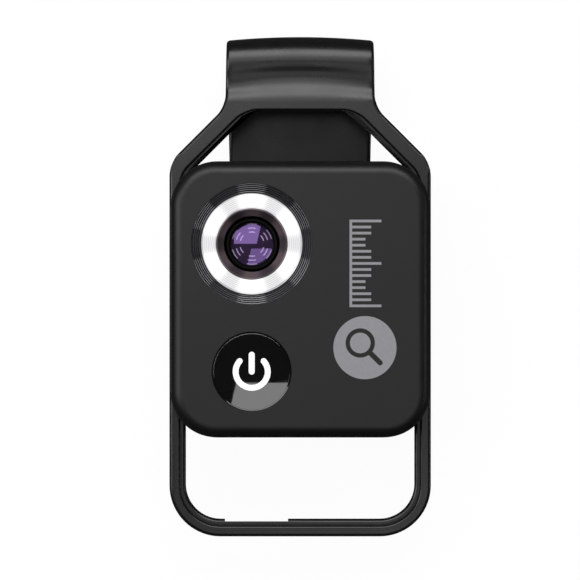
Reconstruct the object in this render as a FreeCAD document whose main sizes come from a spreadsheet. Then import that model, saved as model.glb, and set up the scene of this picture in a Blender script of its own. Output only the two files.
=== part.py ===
"""Clip-on close-up lens with a ring light, for the camera of a phone.

One springy moulding makes the clip: a long frame with slanting shoulders, a crowned bend over the
phone's edge and a flat arm behind. A square lens module runs on the rails inside the frame. It
holds the lens barrel, a ring of lamps behind a milky ring, a push button, a board and a battery.

Millimetres. The part lies on the back of its arm: X to the right, Y towards the bend, Z out of the
front. The origin is on the lying face, under the middle of the whole part.
"""
import FreeCAD
import Part
import Sketcher
import math
import os

SIZES = {
    # Clip frame and its rails
    "frame_width": 43.0,
    "frame_thick": 3.0,
    "frame_band": 1.75,
    "frame_corner": 8.4,
    "rail_reach": 0.9,
    "rail_thick": 1.2,
    "rail_setback": 1.0,
    "shoulder_drop": 20.75,
    "shoulder_reach": 9.3,
    "diagonal_band": 2.66,
    "diagonal_corner": 5.4,
    "shoulder_radius": 4.6,
    "window_drop": 12.3,
    "window_corner": 5.2,
    "window_side_corner": 4.3,
    "notch_width": 10.4,
    "notch_depth": 0.33,
    "notch_offset": 7.2,
    # Bend over the phone's edge, and the arm
    "phone_gap": 6.2,
    "neck_drop": 11.02,
    "valley_drop": 6.98,
    "valley_sag": 1.7,
    "valley_depth": 0.7,
    "valley_depth_side": 0.5,
    "bulge_drop": 3.95,
    "bulge_setback": 0.05,
    "crown_sag": 0.7,
    "bend_wall": 2.4,
    "bend_rear_radius": 4.2,
    "bend_inner_radius": 1.6,
    "arm_thick": 2.2,
    "arm_drop": 6.45,
    "arm_length": 52.0,
    "arm_taper": 1.2,
    "arm_tip_corner": 6.0,
    "pad_margin": 2.5,
    "pad_length": 25.0,
    "pad_thick": 1.4,
    "pad_sink": 0.4,
    "pad_corner": 3.0,
    "pad_from_tip": 3.0,
    "pad_rib_depth": 0.3,
    "pad_rib_width": 0.8,
    "pad_rib_pitch": 2.6,
    # Clearances
    "run_clear": 0.1,
    "side_clear": 0.2,
    "seat_clear": 0.05,
    "ring_clear": 0.1,
    # Module shells
    "module_side_gap": 0.25,
    "module_length": 45.2,
    "module_depth": 11.0,
    "module_drop": 20.85,
    "module_corner": 7.7,
    "slide_travel": 15.0,
    "carriage_cover": 0.4,
    "carriage_rise": 0.55,
    "carriage_joint": 0.8,
    "rim_thick": 1.8,
    "rim_edge": 0.35,
    "shell_inset": 0.45,
    "shell_wall": 1.6,
    "shell_edge": 2.0,
    "rib_wall": 0.9,
    "rib_height": 1.0,
    "screw_radius": 0.7,
    "screw_head_radius": 1.35,
    "screw_head_height": 0.65,
    "screw_head_sink": 0.1,
    "case_screw_inset": 5.0,
    "case_screw_length": 9.0,
    "case_boss_radius": 2.2,
    # Lens barrel and lenses
    "lens_inset": 13.45,
    "lens_share": 0.1976,
    "hood_radius": 5.65,
    "hood_setback": 0.2,
    "hood_mouth_radius": 5.45,
    "hood_throat_radius": 4.3,
    "hood_depth": 1.6,
    "barrel_radius": 5.2,
    "barrel_bore": 4.15,
    "barrel_seat_depth": 3.45,
    "barrel_rear_wall": 1.0,
    "barrel_flange_radius": 7.2,
    "barrel_flange_thick": 0.9,
    "eyepiece_radius": 2.6,
    "lens_radius": 4.1,
    "lens_rim": 0.65,
    "front_lens_edge": 1.5,
    "front_lens_sag": 0.45,
    "rear_lens_edge": 1.3,
    "rear_lens_sag": 0.4,
    "stop_radius": 1.6,
    "stop_thick": 0.6,
    "retainer_height": 1.0,
    "retainer_setback": 0.3,
    "retainer_bevel": 0.3,
    "cushion_bore": 2.8,
    "cushion_radius": 6.2,
    "cushion_thick": 0.9,
    "cushion_edge": 0.3,
    # Ring light
    "trim_radius": 9.65,
    "trim_height": 1.0,
    "trim_groove_pitch": 0.5,
    "trim_groove_depth": 0.12,
    "milky_radius": 8.0,
    "milky_setback": 0.05,
    "milky_edge": 0.2,
    "milky_flange_radius": 8.9,
    "milky_flange_thick": 0.65,
    "lamp_board_bore": 5.8,
    "lamp_board_radius": 8.7,
    "lamp_board_thick": 0.8,
    "lamp_count": 6,
    "lamp_ring_radius": 7.2,
    "lamp_width": 1.4,
    "lamp_height": 0.75,
    # Button and switch
    "button_share": 0.2555,
    "button_radius": 6.15,
    "button_clear": 0.18,
    "button_setback": 0.1,
    "button_edge": 0.35,
    "button_flange_radius": 6.8,
    "button_flange_thick": 0.6,
    "button_stem_radius": 1.5,
    "button_travel": 0.4,
    "switch_width": 4.5,
    "switch_depth": 2.1,
    "switch_corner": 0.4,
    "plunger_radius": 1.2,
    "plunger_stand": 0.7,
    "plunger_length": 1.6,
    # Board, socket, ribbon and battery
    "board_side_inset": 7.75,
    "board_low_inset": 2.4,
    "board_width": 16.0,
    "board_lens_gap": 3.33,
    "board_thick": 1.0,
    "board_stand": 1.4,
    "board_post_radius": 1.5,
    "board_post_inset": 1.7,
    "chip_height": 0.8,
    "socket_width": 8.94,
    "socket_height": 3.2,
    "socket_gap": 0.85,
    "socket_wall": 0.3,
    "socket_corner": 1.5,
    "socket_setback": 0.2,
    "socket_clear": 0.2,
    "tongue_width": 6.7,
    "tongue_thick": 0.7,
    "tongue_setback": 1.8,
    "ribbon_width": 4.0,
    "ribbon_thick": 0.2,
    "ribbon_lap": 2.0,
    "ribbon_inset": 0.2,
    "battery_board_gap": 1.1,
    "battery_side_inset": 6.65,
    "battery_end_inset": 8.6,
    "battery_thick": 4.6,
    "battery_edge": 1.2,
    "battery_tape": 0.25,
    "battery_room": 0.4,
    "well_floor": 1.7,
}

# The two opposite corners of the module that have a screw, as steps across and along
SCREW_CORNERS = ((1, 1), (-1, -1))
# Each chip's place as shares of the board's width and length, and its width as a share of the
# board's
CHIPS = ((0.79, 0.656, 0.19), (0.84, 0.409, 0.1), (0.7, 0.892, 0.09))


class Size:
    """A length and the sheet formula that gives it, kept together through plain arithmetic."""

    def __init__(self, value, formula=None):
        self.value = float(value)
        self.formula = formula or (repr(self.value) if value >= 0 else f"(0 - {-self.value!r})")

    def __add__(self, other):
        other = as_size(other)
        return Size(self.value + other.value, f"({self.formula} + {other.formula})")

    def __sub__(self, other):
        other = as_size(other)
        return Size(self.value - other.value, f"({self.formula} - {other.formula})")

    def __mul__(self, other):
        other = as_size(other)
        return Size(self.value * other.value, f"({self.formula} * {other.formula})")

    def __truediv__(self, other):
        other = as_size(other)
        return Size(self.value / other.value, f"({self.formula} / {other.formula})")

    def __neg__(self):
        return Size(-self.value, f"(0 - {self.formula})")


def as_size(number):
    """Lets a bare number stand where a Size is expected."""
    return number if isinstance(number, Size) else Size(number)


doc = FreeCAD.newDocument("clip_on_lens")
sheet = doc.addObject("Spreadsheet::Sheet", "sizes")
for row, (alias, number) in enumerate(SIZES.items(), start=1):
    sheet.set(f"A{row}", alias)
    sheet.set(f"B{row}", str(number))
    sheet.setAlias(f"B{row}", alias)
doc.recompute()


class Sheet:
    """Gives each cell of the sheet as a Size, by its alias."""

    def __getattr__(self, alias):
        return Size(sheet.get(alias), f"sizes.{alias}")


size = Sheet()
ROOT_TWO = math.sqrt(2)

# Heights above the lying face, from the arm to the front
arm_face = size.arm_thick
frame_rear = arm_face + size.phone_gap
frame_front = frame_rear + size.frame_thick
rail_front = frame_front - size.rail_setback
rail_rear = rail_front - size.rail_thick
plate_rear = frame_rear + size.run_clear
plate_lip = rail_rear - size.run_clear
plate_joint = plate_lip + size.carriage_joint
carriage_front = rail_front + size.run_clear
well_face = plate_joint + size.well_floor
case_rear = frame_front + size.side_clear
case_seam = case_rear + size.rim_thick
case_front = case_rear + size.module_depth
front_wall_inner = case_front - size.shell_wall
board_low_face = case_seam + size.board_stand
board_top = board_low_face + size.board_thick
switch_top = front_wall_inner - size.switch_depth
screw_end = plate_rear + size.screw_head_sink + size.screw_head_height + size.case_screw_length
barrel_seat_face = front_wall_inner - size.barrel_seat_depth
lamp_board_face = barrel_seat_face + size.barrel_flange_thick
lamp_face = lamp_board_face + size.lamp_board_thick

# Places across and along the clip. The frame is as long as the module and its travel need. A
# slanting edge is named by X + Y, which is one number all along it.
module_run = size.module_length + size.slide_travel + size.module_drop
half_length = (module_run + size.frame_band + size.side_clear - size.carriage_rise) / 2
half_frame = size.frame_width / 2
half_strap = half_frame - size.shoulder_reach
diagonal_start = half_length - size.shoulder_drop
window_top = half_length - size.window_drop
neck_start = half_length - size.neck_drop
arm_start = half_length - size.arm_drop
arm_end = arm_start - size.arm_length
arm_tip = half_strap - size.arm_taper
band_side = half_frame - size.frame_band
rail_side = band_side - size.rail_reach
band_low = size.frame_band - half_length
rail_low = band_low + size.rail_reach
outer_diagonal = half_frame + diagonal_start
band_diagonal = outer_diagonal - size.diagonal_band * ROOT_TWO
rail_diagonal = band_diagonal - size.rail_reach * ROOT_TWO

# Places across and along the module
module_top = half_length - size.module_drop
module_low = module_top - size.module_length
module_middle = module_top - size.module_length / 2
half_module = half_frame - size.module_side_gap
shell_low = module_low + size.shell_inset
rib_inset = size.shell_inset + size.shell_wall + size.seat_clear
carriage_top = module_top - size.carriage_cover
carriage_low = module_low + size.carriage_rise
lens_x = size.lens_inset - half_module
lens_y = module_middle + size.module_length * size.lens_share
button_y = module_middle - size.module_length * size.button_share
board_left = size.board_side_inset - half_module
board_right = board_left + size.board_width
board_low = module_low + size.board_low_inset
board_high = lens_y - size.barrel_flange_radius - size.board_lens_gap
board_length = board_high - board_low
battery_left = board_right + size.battery_board_gap
battery_width = half_module - size.battery_side_inset - battery_left
battery_low = module_low + size.battery_end_inset
battery_length = size.module_length - size.battery_end_inset * 2

parts = {}


def keep(name, item):
    """Lists a finished sub-part under its name."""
    item.Label = name
    parts[name] = item
    return item


def bind(item, path, amount):
    """Ties a property of an object to a formula of the sheet."""
    item.setExpression(path, as_size(amount).formula)


def new_body(name, x=0, y=0):
    """A body that stands over a place given by the sheet."""
    body = doc.addObject("PartDesign::Body", name)
    bind(body, "Placement.Base.x", x)
    bind(body, "Placement.Base.y", y)
    return keep(name, body)


def new_sketch(body, name, role="XY_Plane", offset=0):
    """A sketch on one of the body's own origin planes, moved along the plane's normal."""
    sketch = body.newObject("Sketcher::SketchObject", name)
    plane = next(item for item in body.Origin.OriginFeatures if item.Role == role)
    sketch.AttachmentSupport = (plane, [""])
    sketch.MapMode = "FlatFace"
    bind(sketch, "AttachmentOffset.Base.z", offset)
    return sketch


def tie(sketch, kind, *where, amount):
    """Adds a dimension to a sketch and ties it to the sheet."""
    amount = as_size(amount)
    index = sketch.addConstraint(Sketcher.Constraint(kind, *where, amount.value))
    if "sizes." in amount.formula:
        sketch.setExpression(f"Constraints[{index}]", amount.formula)


def arc_between(start, end, radius, left):
    """The shorter arc from start to end, with its centre on the left or the right of the way."""
    chord = end - start
    aside = FreeCAD.Vector(-chord.y, chord.x, 0).normalize() * (1 if left else -1)
    middle = (start + end) / 2
    reach = math.sqrt(max(radius**2 - (chord.Length / 2) ** 2, 0))
    return Part.Arc(start, middle + aside * (reach - radius), end)


def outline(sketch, corners, arcs=None):
    """A closed outline. Arcs gives, by the number of the corner that it leaves, each arc's radius,
    positive where the outline turns left and negative where it turns right."""
    arcs = arcs or {}
    first = sketch.GeometryCount
    total = len(corners)
    places = [FreeCAD.Vector(as_size(x).value, as_size(y).value, 0) for x, y in corners]
    ends = []
    for number, start in enumerate(places):
        end = places[(number + 1) % total]
        radius = as_size(arcs.get(number, 0)).value
        if radius:
            sketch.addGeometry(arc_between(start, end, abs(radius), radius > 0))
        else:
            sketch.addGeometry(Part.LineSegment(start, end))
        # An arc is stored turning left, so one that turns right starts from its far end.
        ends.append((2, 1) if radius < 0 else (1, 2))
    for number in range(total):
        after = (number + 1) % total
        joint = (first + number, ends[number][1], first + after, ends[after][0])
        sketch.addConstraint(Sketcher.Constraint("Coincident", *joint))
    for number, (x, y) in enumerate(corners):
        point = (-1, 1, first + number, ends[number][0])
        tie(sketch, "DistanceX", *point, amount=x)
        tie(sketch, "DistanceY", *point, amount=y)
    for number, radius in arcs.items():
        radius = as_size(radius)
        tie(sketch, "Radius", first + number, amount=radius if radius.value > 0 else -radius)


def rounded(corners, radii):
    """The corners and arcs of an outline whose numbered corners are rounded."""
    total = len(corners)
    places = [FreeCAD.Vector(as_size(x).value, as_size(y).value, 0) for x, y in corners]
    points = []
    arcs = {}
    for number, (x, y) in enumerate(corners):
        if number not in radii:
            points.append((x, y))
            continue
        radius = as_size(radii[number])
        before = (places[number] - places[number - 1]).normalize()
        after = (places[(number + 1) % total] - places[number]).normalize()
        turn = math.atan2(before.cross(after).z, before.dot(after))
        run = radius * math.tan(abs(turn) / 2)
        arcs[len(points)] = radius if turn > 0 else -radius
        points.append((x - run * before.x, y - run * before.y))
        points.append((x + run * after.x, y + run * after.y))
    return points, arcs


def bevelled(corners, cuts):
    """The corners of an outline whose numbered corners are cut off by the same amount each way."""
    total = len(corners)
    places = [FreeCAD.Vector(as_size(x).value, as_size(y).value, 0) for x, y in corners]
    points = []
    for number, (x, y) in enumerate(corners):
        if number not in cuts:
            points.append((x, y))
            continue
        cut = as_size(cuts[number])
        before = (places[number] - places[number - 1]).normalize()
        after = (places[(number + 1) % total] - places[number]).normalize()
        points.append((x - cut * before.x, y - cut * before.y))
        points.append((x + cut * after.x, y + cut * after.y))
    return points


def rounded_box(x, y, width, length, corner):
    """The outline of an upright rectangle about a centre, with four equal round corners."""
    x, y = as_size(x), as_size(y)
    left, right = x - width / 2, x + width / 2
    low, high = y - length / 2, y + length / 2
    return rounded([(left, low), (right, low), (right, high), (left, high)], dict.fromkeys(range(4), corner))


def plain_box(left, low, width, length):
    """The outline of an upright rectangle from its lower left corner."""
    return [(left, low), (left + width, low), (left + width, low + length), (left, low + length)]


def circle(sketch, x, y, radius):
    """A circle tied to the sheet by its centre and radius."""
    centre = FreeCAD.Vector(as_size(x).value, as_size(y).value, 0)
    shape = Part.Circle(centre, FreeCAD.Vector(0, 0, 1), as_size(radius).value)
    number = sketch.addGeometry(shape)
    tie(sketch, "DistanceX", -1, 1, number, 3, amount=x)
    tie(sketch, "DistanceY", -1, 1, number, 3, amount=y)
    tie(sketch, "Radius", number, amount=radius)


def pad(body, sketch, name, length, reverse=False):
    """Raises a sketch into a solid along its normal, or against it."""
    item = body.newObject("PartDesign::Pad", name)
    item.Profile = sketch
    item.Reversed = reverse
    bind(item, "Length", length)
    doc.recompute()
    return item


def pocket(body, sketch, name, depth=None, along=False):
    """Cuts a sketch against its normal, along it, or with no depth both ways through everything."""
    item = body.newObject("PartDesign::Pocket", name)
    item.Profile = sketch
    item.Reversed = along
    if depth is None:
        item.Type = "ThroughAll"
        item.Midplane = True
    else:
        bind(item, "Length", depth)
    doc.recompute()
    return item


def drill(body, name, spots, radius, face, depth=None, along=True):
    """Cuts round holes from a level, upwards unless told otherwise."""
    sketch = new_sketch(body, f"{name}_circles", offset=face)
    for x, y in spots:
        circle(sketch, x, y, radius)
    return pocket(body, sketch, name, depth, along)


def post(body, name, spots, radius, face, height):
    """Raises round posts from a level."""
    sketch = new_sketch(body, f"{name}_circles", offset=face)
    for x, y in spots:
        circle(sketch, x, y, radius)
    return pad(body, sketch, name, height)


def turned(name, x, y, corners, arcs=None):
    """A body turned round an upright axis from a profile of radius and height."""
    body = new_body(name, x, y)
    sketch = new_sketch(body, f"{name}_profile", "XZ_Plane")
    outline(sketch, corners, arcs)
    item = body.newObject("PartDesign::Revolution", f"{name}_turned")
    item.Profile = sketch
    item.ReferenceAxis = (sketch, ["V_Axis"])
    item.Angle = 360
    doc.recompute()
    return body


def soften(body, name, amount, chosen, kind="Fillet"):
    """Rounds or chamfers those edges of the body's last feature that the test picks."""
    base = body.Tip
    edges = [f"Edge{number}" for number, edge in enumerate(base.Shape.Edges, start=1) if chosen(edge)]
    item = body.newObject(f"PartDesign::{kind}", name)
    item.Base = (base, edges)
    bind(item, "Radius" if kind == "Fillet" else "Size", amount)
    doc.recompute()
    return item


def upright_at(*spots, slack=0.02):
    """Picks the upright edges that stand on any of the given places."""
    wanted = [(as_size(x).value, as_size(y).value) for x, y in spots]

    def chosen(edge):
        box = edge.BoundBox
        near = any(abs(box.Center.x - x) < slack and abs(box.Center.y - y) < slack for x, y in wanted)
        return near and box.XLength < slack and box.YLength < slack

    return chosen


def flat_at(height, slack=0.01):
    """Picks the edges that lie flat at a level."""
    level = as_size(height).value

    def chosen(edge):
        box = edge.BoundBox
        return abs(box.ZMin - level) < slack and abs(box.ZMax - level) < slack

    return chosen


def place(item, x, y, z):
    """Puts a plain solid where the sheet says."""
    bind(item, "Placement.Base.x", x)
    bind(item, "Placement.Base.y", y)
    bind(item, "Placement.Base.z", z)
    return item


def cylinder(name, x, y, z, radius, height):
    """A plain upright cylinder."""
    item = doc.addObject("Part::Cylinder", name)
    bind(item, "Radius", radius)
    bind(item, "Height", height)
    return place(item, x, y, z)


def block(name, x, y, z, width, length, height):
    """A plain box that stands on the middle of its base."""
    item = doc.addObject("Part::Box", name)
    bind(item, "Length", width)
    bind(item, "Width", length)
    bind(item, "Height", height)
    return place(item, as_size(x) - as_size(width) / 2, as_size(y) - as_size(length) / 2, z)


def group(name, items):
    """Like pieces kept as one sub-part of several solids."""
    item = doc.addObject("Part::Compound", name)
    item.Links = items
    return keep(name, item)


screw_across = half_module - size.case_screw_inset
screw_along = size.module_length / 2 - size.case_screw_inset
case_screw_spots = [
    (screw_across * across, module_middle + screw_along * along) for across, along in SCREW_CORNERS
]
board_post_spots = [
    (board_left + size.board_post_inset, board_high - size.board_post_inset),
    (board_right - size.board_post_inset, board_low + size.board_post_inset),
]
lens_spot = (lens_x, lens_y)
button_spot = (lens_x, button_y)
socket_x = board_left + size.board_width / 2
socket_low = shell_low + size.socket_setback
socket_length = button_y - size.switch_width / 2 - size.socket_gap - socket_low
socket_z = board_top + size.socket_height / 2


def window(side, low, diagonal, top, corners):
    """The frame's window and what runs in it: straight sides and a slanting top corner each side.
    Corners gives the radii at the bottom, where the sides end and at the top."""
    slanted = [
        (-side, low),
        (side, low),
        (side, diagonal - side),
        (diagonal - top, top),
        (top - diagonal, top),
        (-side, diagonal - side),
    ]
    bottom, middle, upper = corners
    return rounded(slanted, {0: bottom, 1: bottom, 2: middle, 3: upper, 4: upper, 5: middle})


def carriage(side, low, inset):
    """A layer of the module's carriage, which runs in the frame's window with a clearance. Its top
    corners stay under the module's own."""
    bottom = size.frame_corner - size.frame_band - inset - size.side_clear
    top = size.module_corner - (half_module - side)
    corners = [(-side, low), (side, low), (side, carriage_top), (-side, carriage_top)]
    return rounded(corners, {0: bottom, 1: bottom, 2: top, 3: top})


def wide_carriage():
    """The layer that fills the frame's window in front of the rails and behind them."""
    return carriage(band_side - size.side_clear, carriage_low, as_size(0))


def narrow_carriage():
    """The layer between the rails."""
    return carriage(rail_side - size.side_clear, carriage_low + size.rail_reach, size.rail_reach)


def bend_section(body, name, offset, sideways):
    """One upright section of the bend over the phone's edge. The sideways ones are lower."""
    if sideways:
        top = half_length - size.crown_sag
        valley = half_length - size.valley_drop - size.valley_sag
        depth = size.valley_depth_side
        bulge = half_length - size.bulge_drop - size.crown_sag / 2
    else:
        top = half_length
        valley = half_length - size.valley_drop
        depth = size.valley_depth
        bulge = half_length - size.bulge_drop
    start = neck_start
    valley_face = frame_front - depth
    bulge_face = frame_front - size.bulge_setback
    nose = top - bulge
    rear = size.bend_rear_radius
    inner = size.bend_inner_radius
    inner_rear = rear - size.arm_thick
    inner_top = top - size.bend_wall
    far_depth = bulge_face - valley_face
    # Two equal arcs that meet halfway make each wave of the neck.
    near_bow = ((valley - start) * (valley - start) + depth * depth) / (depth * 4)
    far_bow = ((bulge - valley) * (bulge - valley) + far_depth * far_depth) / (far_depth * 4)
    corners = [
        (start, frame_rear),
        (start, frame_front),
        ((start + valley) / 2, (frame_front + valley_face) / 2),
        (valley, valley_face),
        ((valley + bulge) / 2, (valley_face + bulge_face) / 2),
        (bulge, bulge_face),
        (top, bulge_face - nose),
        (top, rear),
        (top - rear, as_size(0)),
        (arm_start, as_size(0)),
        (arm_start, size.arm_thick),
        (inner_top - inner_rear, size.arm_thick),
        (inner_top, size.arm_thick + inner_rear),
        (inner_top, frame_rear - inner),
        (inner_top - inner, frame_rear),
    ]
    arcs = {
        1: -near_bow,
        2: near_bow,
        3: far_bow,
        4: -far_bow,
        5: -nose,
        7: -rear,
        11: inner_rear,
        13: inner,
    }
    sketch = new_sketch(body, name, "YZ_Plane", offset)
    outline(sketch, corners, arcs)
    return sketch


def make_clip_frame():
    """The clip, moulded in one: frame with rails, shoulders, crowned bend and arm."""
    body = new_body("clip_frame")
    low = -half_length
    blank = plain_box(-half_frame, low, size.frame_width, neck_start - low)
    sketch = new_sketch(body, "frame_blank", offset=frame_rear)
    outline(sketch, *rounded(blank, {0: size.frame_corner, 1: size.frame_corner}))
    pad(body, sketch, "frame_plate", size.frame_thick)

    bottom = size.frame_corner - size.frame_band
    sketch = new_sketch(body, "rail_window", offset=frame_front)
    corners = (
        bottom - size.rail_reach,
        size.window_side_corner - size.rail_reach,
        size.window_corner - size.rail_reach,
    )
    outline(sketch, *window(rail_side, rail_low, rail_diagonal, window_top, corners))
    pocket(body, sketch, "rail_window_cut")

    corners = (bottom, size.window_side_corner, size.window_corner)
    band = window(band_side, band_low, band_diagonal, window_top, corners)
    sketch = new_sketch(body, "front_step", offset=frame_front)
    outline(sketch, *band)
    pocket(body, sketch, "front_step_cut", size.rail_setback)
    sketch = new_sketch(body, "rear_step", offset=frame_rear)
    outline(sketch, *band)
    pocket(body, sketch, "rear_step_cut", rail_rear - frame_rear, along=True)

    sketch = new_sketch(body, "rail_notch", offset=frame_front)
    notch = plain_box(-size.notch_offset - size.notch_width / 2, rail_low - size.notch_depth,
                      size.notch_width, size.notch_depth * 2)
    outline(sketch, notch)
    pocket(body, sketch, "rail_notch_cut")

    reach = half_strap + size.frame_band / 2
    left = bend_section(body, "bend_left", -reach, True)
    middle = bend_section(body, "bend_middle", as_size(0), False)
    right = bend_section(body, "bend_right", reach, True)
    bend = body.newObject("PartDesign::AdditiveLoft", "crowned_bend")
    bend.Profile = left
    bend.Sections = [middle, right]
    doc.recompute()

    corners = [
        (-arm_tip, arm_end),
        (arm_tip, arm_end),
        (half_strap, arm_start),
        (-half_strap, arm_start),
    ]
    sketch = new_sketch(body, "arm_outline")
    outline(sketch, *rounded(corners, {0: size.arm_tip_corner, 1: size.arm_tip_corner}))
    pad(body, sketch, "arm", size.arm_thick)

    sketch = new_sketch(body, "shoulder_outline")
    outside = half_frame + size.frame_band
    beyond = half_length + size.frame_band
    for side in (1, -1):
        shoulder = [
            (half_strap * side, beyond),
            (half_strap * side, outer_diagonal - half_strap),
            (outside * side, outer_diagonal - outside),
            (outside * side, beyond),
        ]
        outline(sketch, *rounded(shoulder, {1: size.shoulder_radius}))
    pocket(body, sketch, "shoulders")
    corner = (half_frame, diagonal_start)
    soften(body, "shoulder_corners", size.diagonal_corner, upright_at(corner, (-corner[0], corner[1])))

    sketch = new_sketch(body, "pad_seat", offset=arm_face)
    outline(sketch, *pad_outline(size.seat_clear))
    pocket(body, sketch, "pad_seat_cut", size.pad_sink)
    return body


def pad_outline(clear):
    """The rubber pad's outline, or its seat's with a clearance round it."""
    middle = arm_end + size.pad_from_tip + size.pad_length / 2
    clear = as_size(clear)
    width = (arm_tip - size.pad_margin + clear) * 2
    length = size.pad_length + clear * 2
    return rounded_box(0, middle, width, length, size.pad_corner + clear)


def make_arm_pad():
    """The rubber pad on the arm, ribbed across so that it grips the screen's side."""
    body = new_body("arm_pad")
    floor = arm_face - size.pad_sink
    sketch = new_sketch(body, "pad_outline", offset=floor)
    outline(sketch, *pad_outline(0))
    pad(body, sketch, "pad_slab", size.pad_thick)
    margin = size.pad_corner
    sketch = new_sketch(body, "first_groove", offset=floor + size.pad_thick)
    low = arm_end + size.pad_from_tip + margin
    outline(sketch, plain_box(-arm_tip, low, arm_tip * 2, size.pad_rib_width))
    groove = pocket(body, sketch, "groove", size.pad_rib_depth)
    run = size.pad_length - margin * 2 - size.pad_rib_width
    pattern = body.newObject("PartDesign::LinearPattern", "grooves")
    pattern.Originals = [groove]
    pattern.Direction = (sketch, ["V_Axis"])
    count = int(run.value // size.pad_rib_pitch.value) + 1
    pattern.Occurrences = count
    bind(pattern, "Length", size.pad_rib_pitch * (count - 1))
    body.Tip = pattern
    doc.recompute()
    return body


def make_slide_plate():
    """The rear half of the carriage, whose lips run behind the frame's rails."""
    body = new_body("slide_plate")
    sketch = new_sketch(body, "plate_lips", offset=plate_rear)
    outline(sketch, *wide_carriage())
    pad(body, sketch, "lips", plate_lip - plate_rear)
    sketch = new_sketch(body, "plate_core", offset=plate_lip)
    outline(sketch, *narrow_carriage())
    pad(body, sketch, "core", size.carriage_joint)
    drill(body, "eye_hole", [lens_spot], size.cushion_bore, plate_rear)
    seat_depth = frame_rear + size.cushion_thick - plate_rear
    drill(body, "cushion_seat", [lens_spot], size.cushion_radius + size.seat_clear, plate_rear, seat_depth)
    drill(body, "screw_holes", case_screw_spots, size.screw_radius + size.seat_clear, plate_rear)
    sink = size.screw_head_height + size.screw_head_sink
    drill(body, "head_seats", case_screw_spots, size.screw_head_radius + size.seat_clear, plate_rear, sink)
    return body


def make_rear_housing():
    """The module's rear shell: the front half of the carriage, a rim, and seats for what is inside."""
    body = new_body("rear_housing")
    sketch = new_sketch(body, "carriage_core", offset=plate_joint)
    outline(sketch, *narrow_carriage())
    pad(body, sketch, "core", carriage_front - plate_joint)
    sketch = new_sketch(body, "carriage_lips", offset=carriage_front)
    outline(sketch, *wide_carriage())
    pad(body, sketch, "lips", case_rear - carriage_front)
    sketch = new_sketch(body, "rim_outline", offset=case_rear)
    outline(sketch, *shell_outline(as_size(0)))
    pad(body, sketch, "rim", size.rim_thick)
    far = half_module.value - 0.01

    def rim_edge(edge):
        box = edge.BoundBox
        flat = box.ZLength < 0.01
        level = abs(box.ZMin - case_seam.value) < 0.01 or abs(box.ZMin - case_rear.value) < 0.01
        outer = max(abs(box.XMin), abs(box.XMax)) > far or box.YMax > module_top.value - 0.01
        return flat and level and (outer or box.YMin < module_low.value + 0.01)

    soften(body, "rim_edges", size.rim_edge, rim_edge, "Chamfer")

    sketch = new_sketch(body, "rib_outlines", offset=case_seam)
    wall = size.rib_wall
    side = half_module - rib_inset
    end = size.module_length / 2 - rib_inset
    across = half_module - size.module_corner
    along = size.module_length / 2 - size.module_corner
    for way in (1, -1):
        upright_rib = (side * way - wall * (way + 1) / 2, module_middle - along, wall, along * 2)
        outline(sketch, plain_box(*upright_rib))
        level_rib = (-across, module_middle + end * way - wall * (way + 1) / 2, across * 2, wall)
        outline(sketch, plain_box(*level_rib))
    pad(body, sketch, "locating_ribs", size.rib_height)
    collar = barrel_seat_face - case_seam
    post(body, "barrel_collar", [lens_spot], size.barrel_flange_radius, case_seam, collar)
    post(body, "board_posts", board_post_spots, size.board_post_radius, case_seam, size.board_stand)
    sketch = new_sketch(body, "battery_well", offset=case_seam)
    room = size.battery_room
    well = plain_box(battery_left - room, battery_low - room,
                     battery_width + room * 2, battery_length + room * 2)
    outline(sketch, well)
    pocket(body, sketch, "battery_well_cut", case_seam - well_face)
    drill(body, "barrel_hole", [lens_spot], size.barrel_radius + size.seat_clear, plate_joint)
    drill(body, "screw_holes", case_screw_spots, size.screw_radius + size.seat_clear, plate_joint)
    return body


def shell_outline(inset):
    """The module's outline, drawn in by an inset."""
    width = (half_module - inset) * 2
    length = size.module_length - inset * 2
    return rounded_box(0, module_middle, width, length, size.module_corner - inset)


def make_front_housing():
    """The module's front shell, a shallow box with screw posts and holes for the optics and button."""
    body = new_body("front_housing")
    sketch = new_sketch(body, "shell_outline", offset=case_seam)
    outline(sketch, *shell_outline(size.shell_inset))
    pad(body, sketch, "shell", case_front - case_seam)
    soften(body, "front_edge", size.shell_edge, flat_at(case_front))
    sketch = new_sketch(body, "hollow_outline", offset=case_seam)
    outline(sketch, *shell_outline(size.shell_inset + size.shell_wall))
    pocket(body, sketch, "hollow", front_wall_inner - case_seam, along=True)
    inside = front_wall_inner - case_seam
    post(body, "screw_posts", case_screw_spots, size.case_boss_radius, case_seam, inside)
    drill(body, "screw_pilots", case_screw_spots, size.screw_radius, case_seam, screw_end - case_seam)
    drill(body, "ring_hole", [lens_spot], size.milky_radius + size.ring_clear, front_wall_inner)
    trim_face = case_front - size.trim_height
    drill(body, "trim_seat", [lens_spot], size.trim_radius + size.seat_clear, trim_face, size.trim_height)
    drill(body, "button_hole", [button_spot], size.button_radius + size.button_clear, front_wall_inner)
    sketch = new_sketch(body, "socket_slot", "XZ_Plane", -shell_low)
    width = size.socket_width + size.socket_clear * 2
    height = size.socket_height + size.socket_clear * 2
    slot = rounded_box(socket_x, socket_z, width, height, size.socket_corner + size.socket_clear)
    outline(sketch, *slot)
    pocket(body, sketch, "socket_cut", size.shell_wall)
    return body


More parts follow.
